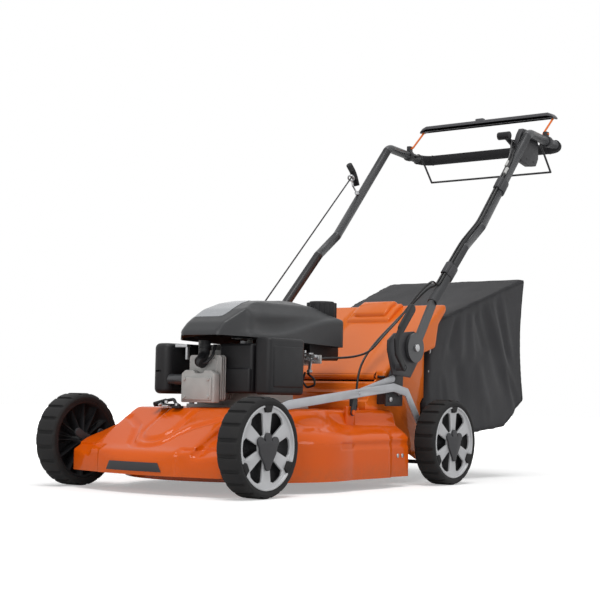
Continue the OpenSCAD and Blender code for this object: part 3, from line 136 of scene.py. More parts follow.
# %% One material and its nodes
class Finish:
    """A material with one Principled shader."""

    def __init__(self, name, constants):
        self.material = bpy.data.materials.new(name)
        self.material.use_nodes = True
        self.tree = self.material.node_tree
        self.tree.nodes.clear()
        self.shader = self.tree.nodes.new("ShaderNodeBsdfPrincipled")
        output = self.tree.nodes.new("ShaderNodeOutputMaterial")
        self.tree.links.new(self.shader.outputs["BSDF"], output.inputs["Surface"])
        for key, value in constants.items():
            self.shader.inputs[key].default_value = value

    def node(self, kind, settings=None, inputs=None, output=0):
        made = self.tree.nodes.new("ShaderNode" + kind)
        for key, value in (settings or {}).items():
            if key == "stops":
                ramp = made.color_ramp
                ramp.elements[0].position, ramp.elements[1].position = value[0][0], value[-1][0]
                ramp.elements[0].color, ramp.elements[1].color = value[0][1], value[-1][1]
                for place, colour in value[1:-1]:
                    ramp.elements.new(place).color = colour
            else:
                setattr(made, key, value)
        for key, value in (inputs or {}).items():
            self.feed(made.inputs[key], value)
        return Signal(self, made.outputs[output])

    def feed(self, socket, value):
        if isinstance(value, Signal):
            self.tree.links.new(value.socket, socket)
        else:
            socket.default_value = value

    def set(self, key, value):
        self.feed(self.shader.inputs[key], value)

    def place(self, stretch=(1, 1, 1), turn=(0, 0, 0)):
        spot = self.node("TexCoord", output=3)
        return self.node("Mapping", {}, {"Vector": spot, "Rotation": turn, "Scale": stretch})

    def axis(self, which):
        return self.node("SeparateXYZ", {}, {0: self.node("TexCoord", output=3)}, which)

    def cloud(self, size, detail=2.0, place=None):
        """Soft noise from 0 to 1, with blotches about size metres across."""
        return self.node("TexNoise", {}, {"Vector": place or self.place(), "Scale": 1 / size,
                                          "Detail": detail})

    def cells(self, size):
        """Distance to the nearest point of a random net with meshes about size metres across."""
        return self.node("TexVoronoi", {}, {"Vector": self.place(), "Scale": 1 / size})

    def ease(self, signal, low, high):
        """0 below low, 1 above high, and smooth between them."""
        return self.node("MapRange", {"interpolation_type": "SMOOTHSTEP"},
                         {0: signal, 1: low, 2: high, 3: 0.0, 4: 1.0})

    def mixed(self, share, first, second):
        return self.node("Mix", {"data_type": "RGBA"}, {0: share, 6: first, 7: second}, 2)

    def bump(self, height, depth):
        """Dents as deep as depth metres, where height goes from 0 to 1."""
        self.set("Normal", self.node("Bump", {}, {"Strength": 1.0, "Distance": depth, "Height": height}))


def tone(red, green, blue):
    """A colour from a paint chart, 0 to 255, as the linear numbers that a shader takes."""
    parts = [c / 255 for c in (red, green, blue)]
    return tuple(c / 12.92 if c <= 0.04045 else ((c + 0.055) / 1.055) ** 2.4 for c in parts) + (1.0,)


print("orange as linear light:", [round(c, 3) for c in tone(232, 96, 28)])

# %% [markdown]
# The deck is steel with a powder coat that is baked to a gloss. Such a coat has three marks: a
# clear layer on top, a faint ripple like the skin of an orange, and near the hem a little dust and
# dried grass that dulls it. The door, the chute and the rods of the brake bail are moulded plastic
# of nearly the same colour, a little rougher, with a finer grain from the mould. Their orange is
# lighter than the deck's: partly the plastic's own tone, and partly painted light for the door's
# upward slope, which catches more of the lamps.

# %% Orange finishes
hem, splash = 0.03, 0.075
dry_grass = tone(148, 92, 58)


def orange_finish(name, deep, bright, coat, rough, grain, depth):
    """Orange paint or plastic. The grain's size and its depth are in metres."""
    finish = Finish(name, {"Coat Weight": coat, "Coat Roughness": 0.05, "Specular IOR Level": 0.04})
    broad, fine = finish.cloud(0.22, 3), finish.cloud(grain, 2)
    dust = finish.cloud(0.012, 5) * (1 - finish.ease(finish.axis(2), hem, splash))
    paint = finish.mixed(broad, tone(*deep), tone(*bright))
    finish.set("Base Color", finish.mixed(dust * 0.55, paint, dry_grass))
    finish.set("Roughness", rough + 0.10 * finish.cloud(0.05, 4) + 0.35 * dust)
    finish.bump(fine, depth)
    return finish


orange_paint = orange_finish("orange_powder_coat", (209, 81, 6), (220, 94, 10),
                             0.42, 0.34, 0.0035, 0.00003)
# lighter than the paint: partly the plastic's own tone, partly painted light for the lit top of the door
orange_plastic = orange_finish("orange_moulded_plastic", (226, 106, 26), (236, 121, 40),
                               0.45, 0.36, 0.0009, 0.00003)
print("two orange finishes")

# %% [markdown]
# Black mouldings are textured by etching the mould. Under a lamp the tops of the grain shine a
# little more than the valleys, so the roughness follows the grain as well as the bump does.

# %% Moulded plastics and rubber
def moulded(name, dark, light, grain, depth, rough, level=0.35):
    """Plastic with an etched grain, its size and depth in metres."""
    finish = Finish(name, {"Specular IOR Level": level})
    pits, broad = finish.cells(grain), finish.cloud(0.09, 4)
    finish.set("Base Color", finish.mixed(broad, tone(*dark), tone(*light)))
    finish.set("Roughness", rough + 0.16 * finish.cloud(0.02, 5) - 0.10 * pits)
    finish.bump(pits + 0.6 * finish.cloud(grain * 2.5, 3), depth)
    return finish


black_plastic = moulded("black_moulded_plastic", (24, 24, 26), (33, 33, 35), 0.0011, 0.00005, 0.46, 0.28)
cover_plastic = moulded("engine_cover_plastic", (45, 46, 48), (53, 54, 56), 0.0009, 0.00003, 0.38, 0.4)
dark_plastic = moulded("dark_moulded_plastic", (46, 46, 48), (57, 57, 60), 0.0010, 0.00004, 0.46)
panel_plastic = moulded("grey_glossy_plastic", (146, 149, 153), (160, 163, 167), 0.0015, 0.00001,
                        0.22, 0.6)
grip_foam = moulded("grip_foam", (36, 36, 38), (47, 47, 49), 0.0016, 0.00018, 0.80, 0.25)
cable_sheath = moulded("cable_sheath", (24, 24, 25), (33, 33, 34), 0.0006, 0.00001, 0.32)
bail_plastic = moulded("bail_plastic", (78, 78, 81), (90, 90, 93), 0.0010, 0.00003, 0.42)
pale_plastic = moulded("pale_plastic", (178, 178, 176), (196, 196, 194), 0.0010, 0.00002, 0.36)
print("eight plastics")


def rubber_finish():
    """Tyre rubber with moulded rings, dusty all over and most where it meets the ground."""
    finish = Finish("tyre_rubber", {"Specular IOR Level": 0.2})
    dust, grain = finish.cloud(0.03, 6), finish.cloud(0.0011, 3)
    rings = finish.node("TexWave", {"wave_type": "BANDS", "bands_direction": "X"},
                        {"Vector": finish.place(), "Scale": 90.0, "Distortion": 0.4})
    low = 1 - finish.ease(finish.axis(2), 0.004, 0.03)
    finish.set("Base Color", finish.mixed(dust * 0.5 + low * 0.12, tone(28, 28, 30), tone(56, 55, 53)))
    finish.set("Roughness", 0.62 + 0.22 * dust)
    finish.bump(grain + 0.25 * rings, 0.00009)
    return finish


tyre_rubber = rubber_finish()

# %% [markdown]
# Metals differ in how they were finished. Castings keep the pebbled skin of the mould, pressed
# and zinc-plated bars show faint lines from rolling, and the handle is powder-coated in dark grey.

# %% Metals and coats
zinc = (160, 162, 166), (186, 188, 192)


def metal(name, dark, light, metallic, rough, grain, depth, stretch=(1, 1, 1), coat=0.0):
    """Metal or a coat of paint. The width of its lines and their depth are in metres."""
    finish = Finish(name, {"Metallic": metallic, "Coat Weight": coat, "Coat Roughness": 0.12})
    lines = finish.cloud(grain, 4, finish.place(stretch))
    spots = finish.cloud(0.03, 5)
    finish.set("Base Color", finish.mixed(spots, tone(*dark), tone(*light)))
    finish.set("Roughness", rough + 0.14 * spots + 0.08 * lines)
    finish.bump(lines, depth)
    return finish


cast_alloy = metal("cast_alloy", (160, 159, 157), (184, 183, 180), 0.12, 0.42, 0.0016, 0.00012)
bright_steel = metal("bright_steel", (168, 169, 171), (202, 203, 205), 0.9, 0.24, 0.0008, 0.00002,
                     (6, 1, 1))
silver_bar = metal("zinc_plated_bar", *zinc, 0.45, 0.34, 0.0007, 0.00002, (1, 0.08, 1))
rim_silver = metal("silver_wheel_paint", (176, 177, 179), (192, 193, 195), 0.15, 0.38, 0.0006, 0.00002,
                   coat=0.15)
grey_paint = metal("grey_powder_coat", (50, 51, 53), (62, 63, 66), 0.1, 0.30, 0.0022, 0.00001, coat=0.25)
black_paint = metal("black_lacquer", (28, 28, 30), (40, 40, 42), 0.1, 0.34, 0.002, 0.00002, coat=0.2)


def lever_finish(dipped_to=0.208, fade=0.003):
    """The height lever is zinc plated, and its lower end is dipped in black."""
    finish = Finish("lever_bar", {"Coat Roughness": 0.12})
    top, spots = finish.ease(finish.axis(2), dipped_to, dipped_to + fade), finish.cloud(0.03, 5)
    plated = finish.mixed(spots, tone(*zinc[0]), tone(*zinc[1]))
    finish.set("Base Color", finish.mixed(top, tone(30, 30, 32), plated))
    finish.set("Metallic", 0.45 * top)
    finish.set("Roughness", 0.42 + 0.12 * spots)
    finish.bump(finish.cloud(0.0007, 4, finish.place((1, 0.08, 1))), 0.00002)
    return finish


lever_bar = lever_finish()
print("seven metals and coats")

# %% [markdown]
# The bag is woven from polyester yarn. Sine waves at right angles give the over and under of a
# plain weave, a little noise keeps the yarns from being perfect, and broad clouds of light and
# dark stand for the way such cloth fades and catches dust. Cloth has no gloss but a soft sheen.

# %% Woven cloth
def woven(name, dark, light, yarn, depth):
    """Cloth of a plain weave. The yarn's width and the weave's depth are in metres."""
    finish = Finish(name, {"Specular IOR Level": 0.15, "Sheen Weight": 0.12, "Sheen Roughness": 0.5})
    warp, weft, across = (finish.node(
        "TexWave", {"wave_type": "BANDS", "bands_direction": axis},
        {"Vector": finish.place(), "Scale": 0.32 / yarn, "Distortion": 0.6, "Detail Scale": 3.0})
        for axis in "YZX")
    weave = warp * weft + across * (1 - warp) * 0.6
    wear = finish.cloud(0.10, 5)
    finish.set("Base Color", finish.mixed(wear * 0.7 + weave * 0.3, tone(*dark), tone(*light)))
    finish.set("Roughness", 0.86 + 0.1 * weave)
    finish.bump(weave + 0.5 * finish.cloud(yarn * 3, 2), depth)
    return finish


bag_fabric = woven("woven_bag_cloth", (52, 52, 54), (72, 72, 74), 0.0022, 0.00022)
seam_tape = woven("seam_tape", (44, 44, 46), (58, 58, 60), 0.0016, 0.00018)
print("two cloths")

# %% [markdown]
# Most solids already have the right shape, but their edges are knife-sharp, and a real edge always
# catches a thin line of light. So a merged copy of the solid is made, its flat faces are put back
# together, and its sharp edges are bevelled. A solid with several colours is split into its loose
# lumps first, and each lump is picked by its box.

# %% Copies with softened edges
def lumps(bm):
    """The separate lumps of a mesh, as lists of vertices."""
    known, found = set(), []
    for start in bm.verts:
        if start in known:
            continue
        known.add(start)
        found.append([start])
        for vert in found[-1]:  # the list grows while it is read
            for other in (edge.other_vert(vert) for edge in vert.link_edges):
                if other not in known:
                    known.add(other)
                    found[-1].append(other)
    return found


def copy_of(node, pick=None, flat=True):
    """A merged copy of a drawn solid. pick keeps the lumps whose corners, in millimetres, it accepts."""
    bm = bmesh.new()
    bm.from_mesh(nodes[node].data)
    bmesh.ops.remove_doubles(bm, verts=bm.verts, dist=1e-5)
    if pick:
        unwanted = []
        for group in lumps(bm):
            corners = [measured([f(v.co[i] for v in group) for i in range(3)]) for f in (min, max)]
            if not pick(*corners):
                unwanted += group
        bmesh.ops.delete(bm, geom=unwanted, context="VERTS")
    if flat:
        bmesh.ops.dissolve_limit(bm, angle_limit=math.radians(1), verts=bm.verts, edges=bm.edges)
    return bm


def soften(bm, width, steps=2, sharp=30):
    """Bevels every edge that turns more than sharp degrees."""
    edges = [e for e in bm.edges if e.is_manifold and e.calc_face_angle(0) > math.radians(sharp)]
    bmesh.ops.bevel(bm, geom=edges, offset=width / 1000, affect="EDGES", segments=steps, profile=0.5,
                    material=-1, clamp_overlap=False)
    return bm


def in_scene(name, bm, finish):
    """Makes an object of a mesh, in its finish."""
    mesh = bpy.data.meshes.new(name)
    bm.to_mesh(mesh)
    bm.free()
    mesh.materials.append(finish.material)
    obj = bpy.data.objects.new(name, mesh)
    bpy.context.scene.collection.objects.link(obj)
    return obj


def piece(name, bm, finish, body, stands_for=(), sharp=40):
    """Makes a smooth piece with creases past sharp degrees, and puts it on its body."""
    obj = in_scene(name, bm, finish)
    obj.data.shade_smooth()
    obj.data.set_sharp_from_angle(angle=math.radians(sharp))
    if body:
        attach(obj, body)
    if stands_for:
        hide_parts(*stands_for)
    return obj


def dressed(node, finish, width=0.8, steps=2, pick=None, name=None, sharp=30):
    """A softened copy of a drawn solid in its finish."""
    bm = soften(copy_of(node, pick), width, steps, sharp) if width else copy_of(node, pick, False)
    piece(name or node + "_skin", bm, finish, body_of[node], [node], max(sharp, 35))


# %% [markdown]
# Bigger skins start as closed solids. Four small builders cover them: an outline drawn out along
# an axis, an outline turned round a vertical line, a round bar along a path, and a box with round
# edges. A boolean keeps what two solids share or carves one out of the other, and a voxel remesh
# melts overlapping solids into one skin of even quads, whose folds can then be relaxed like
# pressed sheet metal.

# %% Outlines drawn out and turned
def prism(outline, across, low, high):
    """An outline in millimetres, drawn out along x, y or z."""
    lay, run = {"x": (lambda u, v: at(low, u, v), (1, 0, 0)), "y": (lambda u, v: at(u, low, v), (0, 1, 0)),
                "z": (lambda u, v: at(u, v, low), (0, 0, 1))}[across]
    bm = bmesh.new()
    face = bm.faces.new([bm.verts.new(lay(u, v)) for u, v in outline])
    drawn = bmesh.ops.extrude_face_region(bm, geom=[face])["geom"]
    bmesh.ops.translate(bm, verts=[g for g in drawn if isinstance(g, bmesh.types.BMVert)],
                        vec=Vector(run) * (high - low) / 1000)
    bmesh.ops.recalc_face_normals(bm, faces=bm.faces)
    return bm


def turned(outline, x, y, steps=128):
    """An outline of radius and height, turned round a vertical line."""
    bm = bmesh.new()
    verts = [bm.verts.new(at(x + radius, y, z)) for radius, z in outline]
    edges = [bm.edges.new(pair) for pair in zip(verts, verts[1:])]
    bmesh.ops.spin(bm, geom=verts + edges, cent=at(x, y, 0), axis=(0, 0, 1), angle=2 * math.pi,
                   steps=steps, use_merge=True)
    bmesh.ops.remove_doubles(bm, verts=bm.verts, dist=1e-5)
    bmesh.ops.recalc_face_normals(bm, faces=bm.faces)
    return bm


# %% Joining, carving and melting
def joined(*parts):
    """Several meshes in one."""
    whole, store = bmesh.new(), bpy.data.meshes.new("store")
    for part in parts:
        part.to_mesh(store)
        whole.from_mesh(store)
        part.free()
    bpy.data.meshes.remove(store)
    return whole


def through(bm, kind, settings, other=None):
    """The mesh after one modifier."""
    made = []
    for part in (bm, other):
        if part:
            mesh = bpy.data.meshes.new("store")
            part.to_mesh(mesh)
            part.free()
            made.append(bpy.data.objects.new("store", mesh))
            bpy.context.scene.collection.objects.link(made[-1])
    modifier = made[0].modifiers.new("shape", kind)
    for key, value in settings.items():
        setattr(modifier, key, value)
    if other:
        modifier.object = made[1]
    after = bmesh.new()
    view = bpy.context.evaluated_depsgraph_get()
    after.from_mesh(made[0].evaluated_get(view).to_mesh())
    for obj in made:
        bpy.data.meshes.remove(obj.data)
    return after


def carved(bm, tool, operation="DIFFERENCE"):
    """A closed solid with another one carved out of it."""
    return through(bm, "BOOLEAN", {"operation": operation, "solver": "EXACT"}, tool)


def shared(first, second):
    """What two closed solids have in common."""
    return carved(first, second, "INTERSECT")


def relax(bm, rounds):
    """Evens out the folds of a mesh, a number of times."""
    for _ in range(rounds):
        bmesh.ops.smooth_vert(bm, verts=bm.verts, factor=0.5, use_axis_x=True, use_axis_y=True,
                              use_axis_z=True)


def melted(bm, voxel, rounds):
    """One relaxed skin of even quads over overlapping solids."""
    bm = through(bm, "REMESH", {"mode": "VOXEL", "voxel_size": voxel / 1000, "adaptivity": 0.0})
    relax(bm, rounds)
    return bm


# %% Bars, boxes and plates
def bent(points, bend, steps=6):
    """A path in millimetres whose corners are rounded with a given radius, as places in the frame."""
    path = [at(*points[0])]
    for before, here, after in zip(points, points[1:], points[2:]):
        a, b, c = at(*before), at(*here), at(*after)
        back, on = (a - b).normalized(), (c - b).normalized()
        half = back.angle(on) / 2
        reach = min(bend / 1000 / math.tan(half), (a - b).length * 0.48, (c - b).length * 0.48)
        start, end = b + back * reach, b + on * reach
        for i in range(steps + 1):
            t = i / steps
            path.append(start * (1 - t) ** 2 + b * 2 * t * (1 - t) + end * t ** 2)
    return path + [at(*points[-1])]


def bar(path, radius, sides=6):
    """A round bar along a path of places, closed at its ends."""
    curve = bpy.data.curves.new("store", "CURVE")
    curve.dimensions, curve.bevel_depth, curve.bevel_resolution = "3D", radius / 1000, sides
    curve.use_fill_caps = True
    spline = curve.splines.new("POLY")
    spline.points.add(len(path) - 1)
    for point, place in zip(spline.points, path):
        point.co = (*place, 1.0)
    obj = bpy.data.objects.new("store", curve)
    bpy.context.scene.collection.objects.link(obj)
    bm = bmesh.new()
    bm.from_mesh(obj.evaluated_get(bpy.context.evaluated_depsgraph_get()).to_mesh())
    bpy.data.objects.remove(obj)
    bmesh.ops.remove_doubles(bm, verts=bm.verts, dist=1e-6)
    bmesh.ops.recalc_face_normals(bm, faces=bm.faces)
    return bm


def block(low, high, width, steps=3):
    """A box between two corners in millimetres, its edges rounded."""
    bm = bmesh.new()
    bmesh.ops.create_cube(bm, size=1)
    a, b = at(*low), at(*high)
    bmesh.ops.scale(bm, verts=bm.verts, vec=b - a)
    bmesh.ops.translate(bm, verts=bm.verts, vec=(a + b) / 2)
    bmesh.ops.bevel(bm, geom=bm.edges, offset=width / 1000, affect="EDGES", segments=steps, profile=0.5,
                    material=-1)
    return bm


def rod(a, b, radius):
    """A straight bar between two points in millimetres."""
    return bar([at(*a), at(*b)], radius, 8)


def plate(outline, across, low, high, width=1, steps=2, sharp=30):
    """An outline drawn out along an axis, its edges rounded."""
    return soften(prism(outline, across, low, high), width, steps, sharp)


# %% Outlines that come up often
def box_outline(x0, y0, x1, y1):
    """A rectangle between two corners."""
    return [(x0, y0), (x1, y0), (x1, y1), (x0, y1)]


def rounded_outline(x0, y0, x1, y1, radius, steps=10):
    """A rectangle with round corners."""
    points = []
    for cx, cy, start in ((x1 - radius, y1 - radius, 0), (x0 + radius, y1 - radius, 90),
                          (x0 + radius, y0 + radius, 180), (x1 - radius, y0 + radius, 270)):
        for i in range(steps + 1):
            t = math.radians(start + 90 * i / steps)
            points.append((cx + radius * math.cos(t), cy + radius * math.sin(t)))
    return points


def both_halves(points):
    """A half outline and its mirror image, as one closed outline."""
    return points + [(-x, y) for x, y in reversed(points) if x > 0]


print("a rounded square has", len(rounded_outline(0, 0, 10, 10, 2)), "points")

# %% [markdown]
# The deck is one sheet of steel, pressed in a single stroke: a round chamber over the blade, two
# flanks behind it and a nose in front. Its folds are soft, because sheet can't turn sharper than a
# few times its thickness. The same sections that the drawing uses are melted together, the press
# lines are pushed in, and then the floor is cut away.

# %% Volumes of the deck
crank_y, chamber_r, nose_half, flank_half, rear_half = -95, 272, 222, 262, 250
nose_y, nose_r, flank_end, deck_rear = -466, 722, 152, 235
floor_z, shelf_z, deck_top, deck_t = 5, 146, 182, 2.5


def flank_outline(half):
    """The section through the flanks, seen from behind."""
    return both_halves([(half, floor_z), (half, 116), (half - 14, 130), (210, shelf_z), (203, 174),
                        (196, deck_top)])


def nose_skin(profile, half):
    """A nose of one profile from the side, cut to the arch that its front follows from above."""
    outline = [(nose_y, floor_z)] + profile + [(crank_y, profile[-1][1]), (crank_y, floor_z)]
    arch = bmesh.new()
    bmesh.ops.create_cone(arch, cap_ends=True, segments=256, radius1=nose_r / 1000,
                          radius2=nose_r / 1000, depth=0.5)
    bmesh.ops.translate(arch, verts=arch.verts, vec=at(0, nose_r + nose_y, 100))
    return shared(prism(outline, "x", -half, half), arch)


def deck_volumes():
    """Chamber, flanks, rear, tongue and shoulders, as overlapping solids."""
    chamber = turned([(0, floor_z), (chamber_r, floor_z), (chamber_r, 112), (262, 130), (228, shelf_z),
                      (207, 174), (198, deck_top), (0, deck_top)], 0, crank_y)
    plan = rounded_outline(-flank_half, crank_y - 60, flank_half, flank_end, 24)
    flanks = shared(prism(flank_outline(flank_half), "y", crank_y, flank_end),
                    prism(plan, "z", 0, deck_top + 2))
    rear = prism(flank_outline(rear_half), "y", crank_y, deck_rear)
    tongue_part = nose_skin([(nose_y, 72), (-458, 90), (-436, 100), (-300, deck_top)], 150)
    shoulders = nose_skin([(nose_y, 66), (-440, 84), (-414, 98), (-386, 112), (-331, 128), (-290, 142),
                           (-230, shelf_z)], nose_half)
    return joined(chamber, flanks, rear, tongue_part, shoulders)


deck = melted(deck_volumes(), voxel=4.4, rounds=7)
print("deck skin:", len(deck.faces), "quads")

# %% [markdown]
# Press lines are steps and grooves a few millimetres deep. Each vertex knows its place, so a
# groove is a dent whose depth depends on how far the vertex is from a drawn line. The deepest one
# is the outline of the tongue on the nose, and a round pad stands proud on the tongue. Each front
# corner steps in, a low bead runs round the top over the blade, and a groove follows each flank.

# %% Press lines
def clamped(value):
    """A value kept between 0 and 1."""
    return max(0.0, min(1.0, value))


def ease(value, low, high):
    """0 below low, 1 above high, and smooth between them."""
    t = clamped((value - low) / (high - low))
    return t * t * (3 - 2 * t)


def from_line(x, y, line):
    """Distance in millimetres, seen from above, between a point and an open line."""
    best = math.inf
    for (ax, ay), (bx, by) in zip(line, line[1:]):
        dx, dy = bx - ax, by - ay
        t = clamped(((x - ax) * dx + (y - ay) * dy) / (dx * dx + dy * dy))
        best = min(best, math.hypot(x - ax - t * dx, y - ay - t * dy))
    return best


tongue = both_halves([(132, -338), (80, -368), (60, -396), (44, -424), (26, -434), (0, -437)])
pad_y, pad_r, groove_z, bead_r = -372, 34, 104, 172


def press(bm):
    """Pushes the press lines into the deck."""
    bm.normal_update()
    moves = {}
    for vert in bm.verts:
        x, y, z = measured(vert.co)
        push, from_crank = 0.0, math.hypot(x, y - crank_y)
        if y < -290 and vert.normal.z > 0.3:
            push -= 5.0 * (1 - ease(from_line(x, y, tongue), 3, 11))
            rim, rise = math.hypot(x, max(0, pad_y - y)), ease(-y, 294, 312)
            pad = 4.0 * (1 - ease(rim, pad_r, pad_r + 8))
            push += rise * (pad - 2.0 * (1 - ease(abs(rim - pad_r - 12), 2, 6)))
        if y < -400 and abs(x) > 108 and z < 100:
            push -= 4.0 * ease(abs(x), 108, 118)
        if z > 150 and vert.normal.z > 0.6 and from_crank < 190:
            push += 1.5 * (1 - ease(abs(from_crank - bead_r), 2, 9))
        if abs(x) > 243 and z < 118 and y > -80:
            push -= 3.0 * (1 - ease(abs(z - groove_z), 3, 9))
        if push:
            moves[vert] = vert.normal * push / 1000
    for vert, move in moves.items():
        vert.co += move


press(deck)

# %% Cut the floor and the throat, and give the sheet its thickness
def faces_where(bm, test):
    """The faces whose middle, in millimetres, passes a test."""
    return [f for f in bm.faces if test(*measured(f.calc_center_median()))]


def cut(bm, place, normal, test=lambda x, y, z: True):
    """New edges where a plane crosses the faces that pass a test."""
    faces = faces_where(bm, test)
    around = dict.fromkeys(part for f in faces for part in (*f.verts, *f.edges))
    bmesh.ops.bisect_plane(bm, geom=faces + list(around), dist=1e-6, plane_co=place, plane_no=normal)


def drop(bm, test):
    """Takes away the faces that pass a test."""
    bmesh.ops.delete(bm, geom=faces_where(bm, test), context="FACES")


def in_nose(x, y):
    return y < -250 and math.hypot(x, y - crank_y) > chamber_r - 3


hem_z, nose_hem_z, throat_half, throat_y, throat_z = 25, 40, 172, 154, 122
cut(deck, at(0, 0, hem_z), (0, 0, 1))
cut(deck, at(0, 0, nose_hem_z), (0, 0, 1), lambda x, y, z: in_nose(x, y) and z < nose_hem_z + 20)
for side in (-throat_half, throat_half):
    cut(deck, at(side, 0, 0), (1, 0, 0), lambda x, y, z: y > 120)
cut(deck, at(0, throat_y, 0), (0, 1, 0), lambda x, y, z: z > deck_top - 12)
cut(deck, at(0, 0, throat_z), (0, 0, 1), lambda x, y, z: y > deck_rear - 15)
drop(deck, lambda x, y, z: z < hem_z or (in_nose(x, y) and z < nose_hem_z)
     or (abs(x) < throat_half and y > throat_y and z > throat_z))
bmesh.ops.solidify(deck, geom=deck.faces, thickness=deck_t / 1000)
print("deck sheet:", len(deck.faces), "faces")

# %% [markdown]
# Inside the nose and the flanks the round wall of the chamber goes on, so that the air is driven
# round the blade. The deck also carries bosses: for the shaft of the front arms, the drive cable
# and the height lever. They are small, so each one is a bar or a plate.

# %% Inner wall and bosses
front_pivot_y, pivot_z, wall_r, wall_t = -341.8, 74.8, 271.6, 2.1
bosses = [turned([(wall_r, hem_z), (wall_r, 108), (wall_r - wall_t, 108), (wall_r - wall_t, hem_z),
                  (wall_r, hem_z)], 0, crank_y),
          rod((165, 128, 178), (165, 128, 185.7), 6),
          plate(box_outline(20, 142, 56, 190.5), "x", 205, 212, 1.2),
          rod((211, 38, 176.5), (221, 38, 176.5), 6)]
for side in (-1, 1):
    bosses.append(rod((side * 214, front_pivot_y, pivot_z), (side * 223, front_pivot_y, pivot_z), 11))
piece("deck_skin", joined(deck, *bosses), orange_paint, "chassis", ["deck"], 50)
print("deck with", len(bosses), "bosses and walls")

# %% [markdown]
# Over the engine sits a moulded cover. Seen from the side it climbs steeply from a low front lip,
# stays high over the fan and falls to the fuel cap; seen from above its front corners are cut
# away. Its top is crowned. A swage climbs along each side to the rear, and above it the hood steps
# in and is slightly hollow. A smooth panel of lighter plastic is let into the top; a badge would
# sit there, and here it stays bare.

# %% Engine cover
under_z, lip_z, lip_y, lip_slope, corner_turn = 300, 330, 112, 0.0304, -0.834
neck_x, neck_y, rope_x, rope_y, cover_t = 55, 130, -79, 39, 3


def cover_skin():
    """The hood: what its plan, its side, its front and its cut corner have in common."""
    plan = plate([(-140, -166), (-140, 112), (140, 112), (140, -243), (101, -316), (-4, -316)],
                 "z", under_z, 480, 11, 5, 20)
    side = prism([(-330, under_z), (-330, 345), (-316, 350), (-300, 372), (-257, 403), (-217, 418),
                  (-177, 426), (-110, 430), (-60, 434), (-23, 433), (17, 421), (57, 407), (99, 398),
                  (120, 395), (120, under_z)], "x", -150, 150)
    front = prism(both_halves([(150, under_z), (140, 320), (140, 392), (122, 419), (74, 436), (30, 442)]),
                  "y", -340, 130)
    # the same fall again, square to the cut corner over the muffler
    corner = prism([(-30, under_z), (-30, 340), (-2, 350), (14, 372), (48, 402), (86, 419), (130, 428),
                    (190, 434), (460, 446), (460, under_z)], "x", -400, 400)
    bmesh.ops.rotate(corner, verts=corner.verts, cent=at(0, 0, 0),
                     matrix=Matrix.Rotation(corner_turn, 3, "Z"))
    bmesh.ops.translate(corner, verts=corner.verts, vec=Vector((-72, -241, 0)) / 1000)
    bm = melted(shared(shared(shared(plan, side), front), corner), voxel=3.0, rounds=9)
    bm.normal_update()
    for vert in bm.verts:
        x, y, z = measured(vert.co)
        line = 348 + 47 * ease(y, -170, 96)
        step = ease(z, line - 1, line + 7) * ease(y, -285, -190) * (1 - ease(y, 60, 100))
        hollow = 4.0 * (1 - ease(abs(z - line - 20), 2, 26)) * ease(y, -300, -200)
        if abs(vert.normal.z) < 0.93 and z < 424:
            vert.co -= Vector((vert.normal.x, vert.normal.y * 0.4, 0)) * (6.0 + hollow) * step / 1000
    relax(bm, 2)
    bm.normal_update()
    return bm


cover = cover_skin()
print("cover:", len(cover.faces), "quads")


# %% Panel, lip and holes of the cover
def swollen(bm, grow):
    """A copy of a skin, moved out along its normals by some millimetres."""
    twin = bm.copy()
    twin.normal_update()
    for vert, move in [(v, v.normal * grow / 1000) for v in twin.verts]:
        vert.co += move
    return twin


def below_lip(x, y, z):
    """The lip climbs a little towards the front."""
    return z < lip_z + lip_slope * (lip_y - y)


window = plate([(-66, -282), (84, -282), (96, -262), (84, -196), (46, -128), (-8, -96), (-66, -96)],
               "z", 350, 470, 9, 4, 15)
panel = shared(carved(swollen(cover, 0.9), swollen(cover, -1.4)), window)
cut(cover, at(0, lip_y, lip_z), (0, lip_slope, 1))
drop(cover, below_lip)
print("panel:", len(panel.faces), "faces")
neck_hole = turned([(0, 386), (39.5, 386), (39.5, 470), (0, 470)], neck_x, neck_y, 64)
rope_hole = turned([(0, 390), (11, 390), (11, 470), (0, 470)], rope_x, rope_y, 48)
bmesh.ops.solidify(cover, geom=cover.faces, thickness=cover_t / 1000)
cover = carved(cover, joined(neck_hole, rope_hole))
piece("engine_cover_skin", cover, cover_plastic, "chassis", ["engine_cover"], 50)
piece("engine_cover_panel", panel, panel_plastic, "chassis", (), 35)

# %% [markdown]
# The air filter sits in a black box on the left of the engine. The box is in two halves, a narrow
# one across the front and a deeper lid that faces outwards, and a dark joint shows between them.
# On the other side a slotted guard keeps fingers off the hot muffler.

# %% Filter box and muffler guard
filter_box = [plate(box_outline(44, 216, 139, 327), "y", -240, -206, 7, 4),
              plate(box_outline(64, 217, 137, 272), "y", -247, -228, 5, 4),
              plate(rounded_outline(142, -240, 190, -110, 14, 5), "z", 214, 340, 8, 4, 50),
              plate(box_outline(112, -206, 141, -112), "z", 220, 326, 3),
              rod((107, -180, 258), (113, -180, 258), 14),
              plate(box_outline(-228, 230, -122, 322), "x", 186, 192, 4, 3)]
piece("filter_box", joined(*filter_box), black_plastic, "chassis",
      ["air_filter_cover"], 45)
guard = plate(rounded_outline(-134, -270, -84, -130, 20, 6), "z", 212, 328, 12, 5, 60)
slots = [prism(box_outline(-245, z, -155, z + 4), "x", -140, -124) for z in range(232, 308, 10)]
slots.append(prism(box_outline(-122, 262, -104, 266), "y", -276, -262))
guard = carved(guard, joined(*slots))
piece("muffler_guard_skin", guard, black_plastic, "chassis", ["muffler_guard"], 45)
print("filter box of", len(filter_box), "parts, guard with", len(slots), "slots")

# %% [markdown]
# The rear door is a crowned moulding that covers the chute, with a raised grip that a hand can
# push up, and a cheek on each side that closes against the bag. It starts as a closed wedge whose
# edges are rounded, then its underside is taken off and the shell gets a wall. The grip stands on
# a low plinth and is hollow below, and the front edge curls round the hinge rod.

